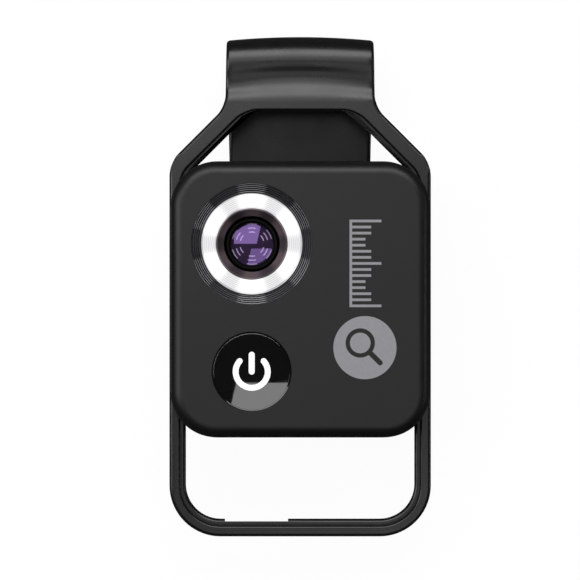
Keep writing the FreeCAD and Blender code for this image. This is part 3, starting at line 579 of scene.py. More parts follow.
class CLIPLENS_OT_clip(bpy.types.Operator):
    """Models the one-piece clip, flat first and then bent over the phone's edge"""

    bl_idname = "cliplens.clip"
    bl_label = "Clip"

    FRAME_CORNER = 8.4
    BAND = 1.75
    RAIL = 0.9
    SLANT_DROP = 20.95
    SLANT_BAND = 2.66
    SLANT_CORNER = 5.4
    SHOULDER_RADIUS = 4.6
    SHOULDER_STEP = 9.2
    WINDOW_DROP = 12.3
    WINDOW_CORNER = 5.2
    WINDOW_SIDE_CORNER = 4.3
    RAIL_SETBACK = 1.0
    RAIL_THICK = 1.2
    # The gutter along the rails: width and depth
    GUTTER = (0.28, 0.3)
    # The rail's low side lies this much further in
    RAIL_LOW = 0.14
    # The step in the rail's low side: its two ends, and its depth
    NOTCH = ((-12.4, -2.0), 0.45)
    ARM_TAPER = 1.2
    ARM_LENGTH = 52.0
    ARM_TIP_CORNER = 6.0
    PAD_CLEAR = 0.05
    PAD_SINK = 0.4
    PAD_CORNER = 3.0
    FLAT_THICK = 3.0
    CROSS_STEP = 1.2
    CORNER_STEPS = 18
    # How close to the outline a point counts as on it
    NEAR = 0.1
    # The hollow side of a shoulder reaches this far down from the strap, and this far in from the slant
    SHOULDER_REACH = (4.0, 2.2)
    # Painted shade on the arm behind the frame, as a lower specular level: the level behind the first
    # height and in front of the second
    ARM_SHADE_HEIGHTS = (3.0, 6.0)
    ARM_SHADE_LEVELS = (0.22, 0.46)

    def window(self, name, inset, start, end, raised=0):
        """A tool as large as the frame's window, drawn in by an inset, its low side also raised."""
        half = high("clip_frame").x / MM
        half_long = high("clip_frame").y / MM
        side = half - self.BAND - inset
        bottom = -half_long + self.BAND + inset + raised
        slant = half + half_long - self.SLANT_DROP - (self.SLANT_BAND + inset) * math.sqrt(2)
        top = half_long - self.WINDOW_DROP
        corners = [
            (-side, bottom), (side, bottom), (side, slant - side),
            (slant - top, top), (top - slant, top), (-side, slant - side),
        ]
        lower = self.FRAME_CORNER - self.BAND - inset
        middle = self.WINDOW_SIDE_CORNER - inset
        upper = self.WINDOW_CORNER - inset
        rounds = {0: lower, 1: lower, 2: middle, 3: upper, 4: upper, 5: middle}
        return self.scaled(name, corners, start, end, rounds)

    @staticmethod
    def scaled(name, corners, start, end, rounds, steps=14):
        """A prism whose sizes are in millimetres."""
        corners = [(x * MM, y * MM) for x, y in corners]
        rounds = {number: radius * MM for number, radius in rounds.items()}
        return prism(name, corners, start * MM, end * MM, rounds, steps)

    def execute(self, context):
        half = high("clip_frame").x / MM
        half_long = high("clip_frame").y / MM
        bend = Bend(half_long)
        slant_start = half_long - self.SLANT_DROP
        strap = half - self.SHOULDER_STEP
        tip = strap - self.ARM_TAPER
        slant_end = slant_start + self.SHOULDER_STEP
        arm_tip = bend.arm + self.ARM_LENGTH
        rear, face = bend.REAR, bend.FACE
        corners = [
            (-half, -half_long), (half, -half_long),
            (half, slant_start), (strap, slant_end),
            (strap, bend.arm), (tip, arm_tip), (-tip, arm_tip), (-strap, bend.arm),
            (-strap, slant_end), (-half, slant_start),
        ]
        rounds = {
            0: self.FRAME_CORNER, 1: self.FRAME_CORNER,
            2: self.SLANT_CORNER, 9: self.SLANT_CORNER,
            3: self.SHOULDER_RADIUS, 8: self.SHOULDER_RADIUS,
            5: self.ARM_TIP_CORNER, 6: self.ARM_TIP_CORNER,
        }
        clip = self.scaled("clip", corners, rear, face, rounds, self.CORNER_STEPS)
        rail_front = face - self.RAIL_SETBACK
        rail_rear = rail_front - self.RAIL_THICK
        past = PAST / MM
        below, above = rear - past, face + past
        carve(clip, self.window("rail_tool", self.RAIL, below, above, self.RAIL_LOW))
        carve(clip, self.window("front_tool", 0, rail_front, above))
        carve(clip, self.window("rear_tool", 0, below, rail_rear))
        width, depth = self.GUTTER
        gutter = self.window("gutter_tool", 0, rail_front - depth, rail_front + past / 2)
        carve(gutter, self.window("gutter_core", width, rear, face))
        carve(clip, gutter)

        def rail_edge(edge):
            """The front edge round the opening, not the one at the gutter."""
            if not flat_edge(edge, rail_front * MM) or not edge.is_convex or not crease(edge):
                return False
            gutter_floor = (rail_front - depth) * MM
            return any(item.calc_center_median().z < gutter_floor for item in edge.link_faces)

        # A cut through the middle parts the rail's face, which runs round the window
        edit_all(clip)
        bpy.ops.mesh.bisect(plane_co=(0, 0, 0), plane_no=(1, 0, 0))

        round_edges(clip, rail_edge, sizes().rail_edge, steps=5)
        (notch_left, notch_right), notch_depth = self.NOTCH
        rail_low = -half_long + self.BAND + self.RAIL + self.RAIL_LOW
        notch_start = (notch_left * MM, (rail_low - notch_depth) * MM, (rail_rear - past / 2) * MM)
        notch_end = (notch_right * MM, (rail_low + notch_depth) * MM, (rail_front + past / 2) * MM)
        carve(clip, slab("notch_tool", notch_start, notch_end))

        pad_low, pad_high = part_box("arm_pad")
        clear = self.PAD_CLEAR
        pad_half = pad_high.x / MM + clear
        path_low = bend.arm + bend.arm_start - pad_high.y / MM - clear
        path_high = bend.arm + bend.arm_start - pad_low.y / MM + clear
        seat = rear + self.PAD_SINK * self.FLAT_THICK / bend.ARM
        pad_corners = [
            (-pad_half, path_low), (pad_half, path_low), (pad_half, path_high), (-pad_half, path_high),
        ]
        pad_rounds = dict.fromkeys(range(4), self.PAD_CORNER + clear)
        carve(clip, self.scaled("pad_tool", pad_corners, below, seat, pad_rounds))
        near = self.NEAR
        reach_down, reach_in = self.SHOULDER_REACH

        def outside(point):
            """True for a point on the clip's outline, and not on a window's."""
            x, y = abs(point.x) / MM, point.y / MM
            slant = x + y - half - slant_start
            corner = self.FRAME_CORNER
            cut_x, cut_y = x - (half - corner), -(half_long - corner) - y
            past_corner = cut_x > 0 and cut_y > 0 and math.hypot(cut_x, cut_y) > corner - near
            at_side = close_to(x, half, near) and y < slant_end
            at_shoulder = y > slant_end - reach_down and slant > -reach_in and x > strap - near / 2
            return slant > -near or past_corner or at_side or y < -half_long + near or at_shoulder

        def outer_edge(edge):
            """Any crisp edge along the clip's outline, in front or behind."""
            on_face = flat_edge(edge, face * MM) or flat_edge(edge, rear * MM)
            return on_face and crease(edge) and all(outside(vertex.co) for vertex in edge.verts)

        def window_edge(edge):
            """Any crisp edge along a window, in front."""
            if not flat_edge(edge, face * MM) or not crease(edge):
                return False
            return not all(outside(vertex.co) for vertex in edge.verts)

        round_edges(clip, outer_edge, sizes().clip_edge, steps=4)
        round_edges(clip, window_edge, sizes().window_edge, steps=3)

        self.divide(clip, bend, strap)
        for vertex in clip.data.vertices:
            vertex.co = bend.bent(vertex.co / MM) * MM
        edit_all(clip)
        bpy.ops.mesh.remove_doubles(threshold=0.002 * MM)
        # A rounding leaves a small face open, which is closed here
        bpy.ops.mesh.fill_holes(sides=8)
        leave(clip)
        fit(clip, "clip", self.nylon(), ["clip_frame"])
        rubber = moulded("rubber_soft_black", "161617", "131314",
                         rough=0.62, lump=0.3 * MM, depth=0.02 * MM, specular=0.3)
        paint_node("arm_pad", rubber)
        return {"FINISHED"}

    def divide(self, clip, bend, strap):
        """Cuts the flat strap into short faces, so that it can bend."""
        edit_all(clip)
        run = (bend.arm - bend.start) * MM
        count = int(run / sizes().strap_step)
        for number in range(count + 1):
            bpy.ops.mesh.select_all(action="SELECT")
            place = (0, bend.start * MM + run * number / count, 0)
            bpy.ops.mesh.bisect(plane_co=place, plane_no=(0, 1, 0))
        cross = int(2 * strap / self.CROSS_STEP)
        for number in range(1, cross):
            choose(clip, "FACE", lambda item: item.calc_center_median().y > bend.start * MM)
            place = ((-strap + 2 * strap * number / cross) * MM, 0, 0)
            bpy.ops.mesh.bisect(plane_co=place, plane_no=(1, 0, 0))
        leave(clip)

    def nylon(self):
        """Glass-filled nylon, moulded: a fine even grain, and painted shade on the arm behind as a lower
        specular level.
        """
        material = moulded("nylon_moulded_black", "0C0C0D", "0A0A0B",
                           rough=0.29, lump=0.22 * MM, depth=0.012 * MM)
        tree = material.node_tree
        place = tree.nodes["Texture Coordinate"].outputs["Object"]
        parts = add_node(tree, "ShaderNodeSeparateXYZ", inputs={"Vector": place})
        start, end = (height * MM for height in self.ARM_SHADE_HEIGHTS)
        shaded_level, full = self.ARM_SHADE_LEVELS
        # Painted shade: the arm behind the frame gets a lower specular level, so it shows darker
        level = add_node(tree, "ShaderNodeMapRange", inputs={
            "Value": parts.outputs["Z"], "From Min": start, "From Max": end,
            "To Min": shaded_level, "To Max": full})
        shader = tree.nodes["Principled BSDF"]
        tree.links.new(level.outputs["Result"], shader.inputs["Specular IOR Level"])
        return material


class CLIPLENS_OT_rear_case(bpy.types.Operator):
    """Models the module's rear half: the rim that shows as a ledge, and the carriage behind it"""

    bl_idname = "cliplens.rear_case"
    bl_label = "Rear case"

    RIM = (11.6, 13.4)
    CORNER = 7.7
    # How far the lips and the core lie inside the rim: at each side, below and above
    LIP_INSETS = (1.7, 0.55, 0.4)
    CORE_INSETS = (2.6, 1.6, 0.4)
    CORE = (9.9, 10.5)
    # The core reaches this far into the lips
    OVERLAP = 0.2
    BORE = 5.25
    CORNER_STEPS = 18

    def execute(self, context):
        start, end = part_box("rear_housing")
        rim_low, rim_high = (level * MM for level in self.RIM)
        core_low, core_high = (level * MM for level in self.CORE)
        corner = self.CORNER * MM
        rim = slab("rear_case", (start.x, start.y, rim_low), (end.x, end.y, rim_high),
                   corner, self.CORNER_STEPS)
        edge = sizes().rim_edge

        def face_edge(item):
            return (flat_edge(item, rim_low) or flat_edge(item, rim_high)) and crease(item)

        round_edges(rim, face_edge, edge)
        side, bottom, top = (inset * MM for inset in self.LIP_INSETS)
        lips = slab("lips", (start.x + side, start.y + bottom, core_high),
                    (end.x - side, end.y - top, rim_low + edge), corner - side)
        side, bottom, top = (inset * MM for inset in self.CORE_INSETS)
        core = slab("core", (start.x + side, start.y + bottom, core_low),
                    (end.x - side, end.y - top, core_high + self.OVERLAP * MM), corner - side)
        carve(rim, lips, "UNION")
        carve(rim, core, "UNION")
        bore = disc("bore_tool", centre("lens_barrel"), self.BORE * MM, core_low - PAST, rim_high + PAST)
        carve(rim, bore)
        finish = moulded("abs_moulded_black", "0C0C0D", "0A0A0B",
                         rough=0.22, lump=0.2 * MM, depth=0.006 * MM)
        fit(rim, "module", finish, ["rear_housing"])
        paint_node("slide_plate", finish)
        return {"FINISHED"}


class CLIPLENS_OT_front_case(bpy.types.Operator):
    """Models the module's front half with its soft edge, its round holes and the socket's slot"""

    bl_idname = "cliplens.front_case"
    bl_label = "Front case"

    CORNER = 7.25
    WALL = 1.6
    RING_HOLE = 8.1
    TRIM_SEAT = 9.7
    TRIM_DEPTH = 1.0
    BUTTON_HOLE = 6.4
    MOUTH_EDGE = 0.05
    # The socket's slot: its room round the socket, its corners and its depth
    SLOT_CLEAR = 0.2
    SLOT_CORNER = 1.7
    SLOT_DEPTH = 2.2
    CORNER_STEPS = 20
    EDGE_STEPS = 10

    def execute(self, context):
        start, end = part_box("front_housing")
        face = end.z - INK
        corner = self.CORNER * MM
        wall = self.WALL * MM
        case = slab("front_case", start, (end.x, end.y, face), corner, self.CORNER_STEPS)
        round_edges(case, lambda edge: flat_edge(edge, face) and crease(edge),
                    sizes().case_edge, self.EDGE_STEPS)
        inner_low = (start.x + wall, start.y + wall, start.z - PAST)
        inner_high = (end.x - wall, end.y - wall, end.z - wall)
        carve(case, slab("hollow_tool", inner_low, inner_high, corner - wall))
        lens = centre("lens_barrel")
        button = centre("power_button")
        above = end.z + PAST
        hole = self.BUTTON_HOLE * MM
        seat = self.TRIM_SEAT * MM
        carve(case, disc("ring_tool", lens, self.RING_HOLE * MM, start.z, above))
        carve(case, disc("seat_tool", lens, seat, end.z - self.TRIM_DEPTH * MM, above))
        carve(case, disc("button_tool", button, hole, end.z - wall - PAST / 2, above))
        self.slot(case, start)

        def mouth(edge):
            """The edges of the two round holes in the front."""
            if not flat_edge(edge, face) or not crease(edge):
                return False
            return any(all(close_to(math.dist(vertex.co.xy, spot), radius) for vertex in edge.verts)
                       for spot, radius in ((button, hole), (lens, seat)))

        round_edges(case, mouth, self.MOUTH_EDGE * MM, steps=2)
        finish = moulded("abs_matt_black", "0B0B0B", "090909",
                         rough=0.42, lump=0.16 * MM, depth=0.008 * MM, specular=0.36)
        fit(case, "module", finish, ["front_housing"])
        return {"FINISHED"}

    def slot(self, case, start):
        """Cuts the slot in front of the charging socket."""
        socket_low, socket_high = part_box("charging_socket")
        clear = self.SLOT_CLEAR * MM
        bottom = (socket_low.x - clear, start.y - PAST, socket_low.z - clear)
        top = (socket_high.x + clear, start.y + self.SLOT_DEPTH * MM, socket_high.z + clear)
        tool = slab("slot_tool", bottom, top)

        def lengthwise(edge):
            first, second = edge.verts
            return close_to(first.co.x, second.co.x) and close_to(first.co.z, second.co.z)

        round_edges(tool, lengthwise, self.SLOT_CORNER * MM, steps=8)
        carve(case, tool)


class CLIPLENS_OT_ring_light(bpy.types.Operator):
    """Turns the grooved trim and the milky ring of the light"""

    bl_idname = "cliplens.ring_light"
    bl_label = "Ring light"

    TRIM = (8.1, 9.65)
    # The grooves keep this far from the trim's rim and from its bore
    MARGINS = (0.06, 0.1)
    # Where a groove is deepest and where it ends, as shares of the pitch
    GROOVE = (0.45, 0.8)
    # The middle of the first land lies this far inside the rim
    FIRST_LAND = 0.03
    MILKY = (5.75, 8.0, 8.9)
    FLANGE = (20.3, 20.95)
    MILKY_EDGE = 0.2
    MILKY_PITCH = 0.3

    def execute(self, context):
        lens = centre("lens_barrel")
        self.make_trim(lens)
        self.make_milky(lens)
        return {"FINISHED"}

    def make_trim(self, lens):
        """The trim, with its turned grooves."""
        start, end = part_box("trim_ring")
        bore, rim = (radius * MM for radius in self.TRIM)
        rim_margin, bore_margin = (margin * MM for margin in self.MARGINS)
        deepest, last = self.GROOVE
        pitch = sizes().groove_pitch
        profile = [(bore, start.z), (rim, start.z), (rim, end.z)]
        for number in range(int((rim - bore - bore_margin) // pitch)):
            outer = rim - rim_margin - pitch * number
            profile.append((outer, end.z))
            profile.append((outer - pitch * deepest, end.z - sizes().groove_depth))
            profile.append((outer - pitch * last, end.z))
        profile.append((bore, end.z))
        trim = turned("trim", lens, profile)
        fit(trim, "module", self.anodised(lens), ["trim_ring"])

    def anodised(self, lens):
        """Black anodised aluminium, turned on a lathe, with painted light in its colour: bright painted
        highlights on its lands in six fans, as if lit by the lamps behind, and painted shade in its
        grooves.
        """
        material, tree, place = new_material("aluminium_black_anodised_turned")
        away, fan = fans(tree, place, lens, start=0.15, end=-0.35)
        first_land = (self.TRIM[1] - self.FIRST_LAND) * MM
        inwards = add_node(tree, "ShaderNodeMath", {"operation": "SUBTRACT"}, {0: first_land, 1: away})
        land = rings(tree, inwards.outputs[0], sizes().groove_pitch, "COSINE", -0.2, 0.9)
        # Painted light: in the fans the lands are painted bright and the grooves dark; between the fans
        # both are painted in a faint contrast
        lit, unlit = (
            add_node(tree, "ShaderNodeMix", {"data_type": "RGBA"}, {
                FACTOR: land, FIRST: linear(groove), SECOND: linear(top)})
            for groove, top in (("1C1C1D", "7A7A7C"), ("2A2A2B", "38383A")))
        tone = add_node(tree, "ShaderNodeMix", {"data_type": "RGBA"}, {
            FACTOR: fan, FIRST: unlit.outputs[MIXED], SECOND: lit.outputs[MIXED]})
        shader = add_node(tree, "ShaderNodeBsdfPrincipled", inputs={
            "Base Color": tone.outputs[MIXED],
            "Metallic": 1.0,
            "Roughness": uneven(tree, place, 0.5 * MM, 0.36, 0.44),
        })
        add_node(tree, "ShaderNodeOutputMaterial", inputs={"Surface": shader.outputs["BSDF"]})
        return material

    def make_milky(self, lens):
        """The milky ring, with its flange behind the front wall."""
        bore, rim, flange = (radius * MM for radius in self.MILKY)
        flange_low, flange_top = (level * MM for level in self.FLANGE)
        top = high("milky_ring").z
        edge = self.MILKY_EDGE * MM
        profile = [
            (bore, flange_low), (flange, flange_low), (flange, flange_top), (rim, flange_top),
            (rim, top - edge), (rim - edge, top), (bore + edge, top), (bore, top - edge),
        ]
        ring = turned("milky_light", lens, profile)
        fit(ring, "module", self.lit(lens), ["milky_ring"])

    def lit(self, lens):
        """Milky acrylic with moulded rings, lit from behind by six lamps: a little dimmer between them."""
        material, tree, place = new_material("acrylic_milky_lit")
        away, fan = fans(tree, place, lens, start=0.95, end=-0.35)
        ring = rings(tree, away, self.MILKY_PITCH * MM, "SINE", -1.0, 1.0, faint=0.45)
        between = add_node(tree, "ShaderNodeMath", {"operation": "SUBTRACT"}, {0: 1.0, 1: fan})
        dim = add_node(tree, "ShaderNodeMath", {"operation": "MULTIPLY"}, {0: between.outputs[0], 1: ring})
        glow = add_node(tree, "ShaderNodeMix", {"data_type": "RGBA"}, {
            FACTOR: dim.outputs[0], FIRST: tuple(colours().glow), SECOND: linear("9E9EA2")})
        shader = add_node(tree, "ShaderNodeBsdfPrincipled", inputs={
            "Base Color": linear("9A9A9A"),
            "Roughness": 0.35,
            "Emission Color": glow.outputs[MIXED],
            "Emission Strength": 0.7,
        })
        add_node(tree, "ShaderNodeOutputMaterial", inputs={"Surface": shader.outputs["BSDF"]})
        return material


class CLIPLENS_OT_optics(bpy.types.Operator):
    """Turns the barrel's hood, the ring that holds the lens, the coated lens and the soft eyepiece"""

    bl_idname = "cliplens.optics"
    bl_label = "Optics"

    REAR = (2.6, 5.2)
    FLANGE = (7.2, 17.55, 18.45)
    HOOD = 5.65
    MOUTH = 5.45
    # The hood's lip is cut back outside, down and in, and inside, in and down
    LIP = (0.08, 0.06, 0.04, 0.06)
    THROAT = (4.3, 20.8)
    THROAT_STEP = 0.1
    # The cone's steps, and how hollow it is
    CONE = (7, 0.05)
    BORE = 4.15
    SEAT = 10.9
    CLEAR = 3.45
    LENS = (4.1, 18.0, 19.5, 0.37)
    LENS_STEPS = 14
    RETAINER = (4.1, 19.5, 20.5, 0.3)
    RETAINER_EDGE = 0.05
    CUSHION = (2.8, 0.3)
    # Inside this radius the barrel is dead black, with a narrow soft border
    BLACK_INSIDE = (4.46, 4.54)
    # The painted reflection in the lens, as fine arcs: their pitch, the radii between which they fade in,
    # and their strength
    ARC_PITCH = 0.65
    ARC_FADE = (1.5, 1.7)
    ARC_STRENGTH = 0.7

    def execute(self, context):
        lens = centre("lens_barrel")
        self.make_barrel(lens)
        self.make_retainer(lens)
        self.make_lens(lens)
        self.make_cushion(lens)
        return {"FINISHED"}

    def make_barrel(self, lens):
        """The barrel, with the cone of its hood in front."""
        start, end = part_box("lens_barrel")
        flange, flange_low, flange_top = (value * MM for value in self.FLANGE)
        eye, barrel = (value * MM for value in self.REAR)
        throat, throat_level = (value * MM for value in self.THROAT)
        lip_down, lip_in, mouth_in, mouth_down = (value * MM for value in self.LIP)
        hood, mouth = self.HOOD * MM, self.MOUTH * MM
        seat, bore = self.SEAT * MM, self.BORE * MM
        profile = [
            (eye, start.z), (barrel, start.z), (barrel, flange_low), (flange, flange_low),
            (flange, flange_top), (hood, flange_top), (hood, end.z - lip_down),
            (hood - lip_in, end.z), (mouth + mouth_in, end.z), (mouth, end.z - mouth_down),
        ]
        # The cone is faintly hollow, so that its gloss runs round it softly
        steps, hollow = self.CONE
        for number in range(1, steps + 1):
            share = number / steps
            radius = mouth + (throat - mouth) * share
            level = end.z - mouth_down + (throat_level - end.z + mouth_down) * share
            profile.append((radius, level - hollow * MM * math.sin(math.pi * share)))
        profile += [(bore, throat_level - self.THROAT_STEP * MM), (bore, seat), (self.CLEAR * MM, seat)]
        finish = self.bronzed(lens)
        fit(turned("barrel", lens, profile), "module", finish, ["lens_barrel"])
        paint_node("lens_spacer", finish)

    def make_retainer(self, lens):
        """The ring that holds the lens in the barrel."""
        radius, ring_low, ring_top, bevel = (value * MM for value in self.RETAINER)
        clear, edge = self.CLEAR * MM, self.RETAINER_EDGE * MM
        ring = turned("lens_ring", lens, [
            (clear, ring_low), (radius, ring_low), (radius, ring_top - edge),
            (radius - edge, ring_top), (clear + bevel, ring_top), (clear, ring_top - bevel),
        ])
        finish = moulded("aluminium_black_matt_ring", "020202", "030303",
                         rough=0.5, lump=0.3 * MM, depth=0.01 * MM, specular=0.08)
        fit(ring, "module", finish, ["lens_retainer"])

    def make_lens(self, lens):
        """The coated lens in front. The one behind it keeps the model's shape."""
        radius, lens_low, lens_top, sag = (value * MM for value in self.LENS)
        clear = self.CLEAR * MM
        bow = (clear ** 2 + sag ** 2) / (2 * sag)
        steps = [clear * number / self.LENS_STEPS for number in range(self.LENS_STEPS + 1)]
        dome = [(away, sag - (bow - math.sqrt(bow ** 2 - away ** 2))) for away in steps]
        profile = [(away, lens_low - rise) for away, rise in dome]
        profile += [(radius, lens_low), (radius, lens_top)]
        profile += [(away, lens_top + rise) for away, rise in reversed(dome)]
        glass = turned("coated_lens", lens, profile, closed=False)
        fit(glass, "module", self.coated("glass_coated_purple", lens), ["front_lens"])
        paint_node("rear_lens", self.coated("glass_coated_rear", lens))

    def make_cushion(self, lens):
        """The soft ring round the eyepiece."""
        start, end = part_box("eyepiece_cushion")
        outer = (end.x - start.x) / 2
        bore, edge = (value * MM for value in self.CUSHION)
        middle = edge * TWO_CUTS
        cushion = turned("eyepiece", lens, [
            (bore + edge, start.z), (outer - edge, start.z), (outer - middle, start.z + middle),
            (outer, start.z + edge), (outer, end.z), (bore, end.z),
            (bore, start.z + edge), (bore + middle, start.z + middle),
        ])
        rubber = moulded("rubber_eyepiece_black", "161617", "131314",
                         rough=0.6, lump=0.3 * MM, depth=0.02 * MM, specular=0.3)
        fit(cushion, "module", rubber, ["eyepiece_cushion"])

    def bronzed(self, lens):
        """Dark bronze anodised aluminium, bead-blasted: painted light makes it lighter in the six lamps'
        sectors, its throat black.
        """
        material, tree, place = new_material("aluminium_bronze_anodised_blasted")
        away, fan = fans(tree, place, lens, start=0.9, end=-0.9)
        # Painted light from the six lamps: a lighter tone in their sectors, a darker one between them
        lighter = two_tone(tree, place, 2.5 * MM, "6E605C", "665860")
        tone = add_node(tree, "ShaderNodeMix", {"data_type": "RGBA"}, {
            FACTOR: fan, FIRST: linear("3E3738"), SECOND: lighter})
        black, bronze = (radius * MM for radius in self.BLACK_INSIDE)
        throat = add_node(tree, "ShaderNodeMapRange", inputs={
            "Value": away, "From Min": black, "From Max": bronze, "To Min": 0.0, "To Max": 1.0})
        tone = add_node(tree, "ShaderNodeMix", {"data_type": "RGBA"}, {
            FACTOR: throat.outputs["Result"], FIRST: linear("010101"), SECOND: tone.outputs[MIXED]})
        grit = add_node(tree, "ShaderNodeTexNoise", inputs={
            "Vector": place, "Scale": 1 / (0.12 * MM), "Detail": 2.0})
        bump = add_node(tree, "ShaderNodeBump", inputs={
            "Height": grit.outputs["Fac"], "Strength": 0.2, "Distance": 0.01 * MM})
        shader = add_node(tree, "ShaderNodeBsdfPrincipled", inputs={
            "Base Color": tone.outputs[MIXED],
            "Metallic": 0.5,
            "Specular IOR Level": throat.outputs["Result"],
            "Roughness": 0.45,
            "Normal": bump.outputs["Normal"],
        })
        add_node(tree, "ShaderNodeOutputMaterial", inputs={"Surface": shader.outputs["BSDF"]})
        return material

    def coated(self, name, lens):
        """Optical glass with a purple coating: dark inside, its gloss tinted by the coating.

        A painted reflection of the six lamps lies in its colour as fine arcs."""
        material, tree, place = new_material(name)
        away, fan = fans(tree, place, lens, start=0.2, end=-0.3)
        # Painted reflection: pale arcs in the six lamps' sectors, fading in away from the middle
        ring = rings(tree, away, self.ARC_PITCH * MM, "COSINE", 0.4, 1.0)
        fade_start, fade_end = (radius * MM for radius in self.ARC_FADE)
        fade = add_node(tree, "ShaderNodeMapRange", inputs={
            "Value": away, "From Min": fade_start, "From Max": fade_end,
            "To Min": 0.0, "To Max": self.ARC_STRENGTH})
        arc = add_node(tree, "ShaderNodeMath", {"operation": "MULTIPLY"}, {0: ring, 1: fan})
        arc = add_node(tree, "ShaderNodeMath", {"operation": "MULTIPLY"}, {
            0: arc.outputs[0], 1: fade.outputs["Result"]})
        tone = add_node(tree, "ShaderNodeMix", {"data_type": "RGBA"}, {
            FACTOR: arc.outputs[0], SECOND: linear("C4B0DC"),
            FIRST: two_tone(tree, place, 2 * MM, "261B2E", "2E2238")})
        shader = add_node(tree, "ShaderNodeBsdfPrincipled", inputs={
            "Base Color": tone.outputs[MIXED],
            "Roughness": 0.03,
            "IOR": 1.9,
            "Specular IOR Level": 1.0,
            "Specular Tint": linear("B08CE2"),
        })
        add_node(tree, "ShaderNodeOutputMaterial", inputs={"Surface": shader.outputs["BSDF"]})
        return material


class CLIPLENS_OT_button(bpy.types.Operator):
    """Turns the polished push button and prints its sign"""

    bl_idname = "cliplens.button"
    bl_label = "Push button"

    CAP = 6.12
    FLANGE = (6.8, 20.35, 20.95)
    STEM = 1.5
    EDGE = 0.05
    # The sign's ring: its two radii, and half the opening in degrees
    SIGN_RING = (2.1, 3.04)
    SIGN_GAP = 48.3
    SIGN_STEPS = 72
    # The sign's bar: its width, top and foot, and its ends' rounding as a share of the width, which
    # stays under half so that their corners don't meet
    SIGN_BAR = (0.96, 3.2, -0.46)
    SIGN_END = 0.499

    def execute(self, context):
        spot = centre("power_button")
        start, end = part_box("power_button")
        cap = self.CAP * MM
        flange, flange_low, flange_top = (value * MM for value in self.FLANGE)
        stem = self.STEM * MM
        edge = self.EDGE * MM
        middle = edge * TWO_CUTS
        face = end.z - INK
        profile = [(0, start.z), (stem, start.z), (stem, flange_low), (flange, flange_low),
                   (flange, flange_top), (cap, flange_top), (cap, face - edge),
                   (cap - middle, face - middle), (cap - edge, face), (0, face)]
        button = turned("push_button", spot, profile, closed=False)
        fit(button, "button", self.polished(), ["power_button"])
        self.make_sign(spot, face, end.z)
        return {"FINISHED"}

    @staticmethod
    def polished():
        """Piano-black ABS, polished in the mould: deep black with a mirror gloss and faint hairlines."""
        material, tree, place = new_material("abs_piano_black_polished")
        shader = add_node(tree, "ShaderNodeBsdfPrincipled", inputs={
            "Base Color": two_tone(tree, place, 3 * MM, "020202", "040404"),
            "Roughness": uneven(tree, place, 1.5 * MM, 0.008, 0.02, 5.0),
            "IOR": 1.7,
            "Specular IOR Level": 1.0,
        })
        add_node(tree, "ShaderNodeOutputMaterial", inputs={"Surface": shader.outputs["BSDF"]})
        return material

    def make_sign(self, spot, face, top):
        """The usual on and off sign: an open ring and a bar."""
        inner, outer = (radius * MM for radius in self.SIGN_RING)
        middle = (inner + outer) / 2
        width = outer - inner
        bpy.ops.object.select_all(action="DESELECT")
        gap = math.radians(self.SIGN_GAP)
        first = (spot[0] + inner, spot[1], face)
        bpy.ops.mesh.primitive_plane_add(size=MM, location=first)
        ring = settle("sign_ring")
        edit_all(ring, "VERT")
        bpy.ops.mesh.merge(type="CENTER")
        bpy.ops.mesh.extrude_vertices_move(TRANSFORM_OT_translate={"value": (width, 0, 0)})
        leave(ring)
        turn = Matrix.Translation((*spot, 0)) @ Matrix.Rotation(math.pi / 2 + gap, 4, "Z")
        ring.data.transform(turn @ Matrix.Translation((-spot[0], -spot[1], 0)))
        edit_all(ring, "EDGE")
        bpy.ops.mesh.spin(steps=self.SIGN_STEPS, angle=-(2 * math.pi - 2 * gap),
                          center=(*spot, 0), axis=(0, 0, 1), use_auto_merge=False)
        edit_all(ring)
        bpy.ops.mesh.normals_make_consistent(inside=False)
        bpy.ops.mesh.extrude_region_move(TRANSFORM_OT_translate={"value": (0, 0, top - face)})
        bpy.ops.mesh.select_all(action="SELECT")
        bpy.ops.mesh.normals_make_consistent(inside=False)
        leave(ring)
        for side in (1, -1):
            away = math.pi / 2 + gap * side
            end_spot = (spot[0] + middle * math.cos(away), spot[1] + middle * math.sin(away))
            carve(ring, disc("sign_end", end_spot, width / 2, face, top, steps=32), "UNION")
        bar_width, bar_top, bar_low = (value * MM for value in self.SIGN_BAR)
        bar = slab("sign_bar", (spot[0] - bar_width / 2, spot[1] + bar_low, face),
                   (spot[0] + bar_width / 2, spot[1] + bar_top, top),
                   bar_width * self.SIGN_END, steps=10)
        sign = join("button_sign", [ring, bar])
        fit(sign, "button", ink("ink_white", tuple(colours().print_white)))


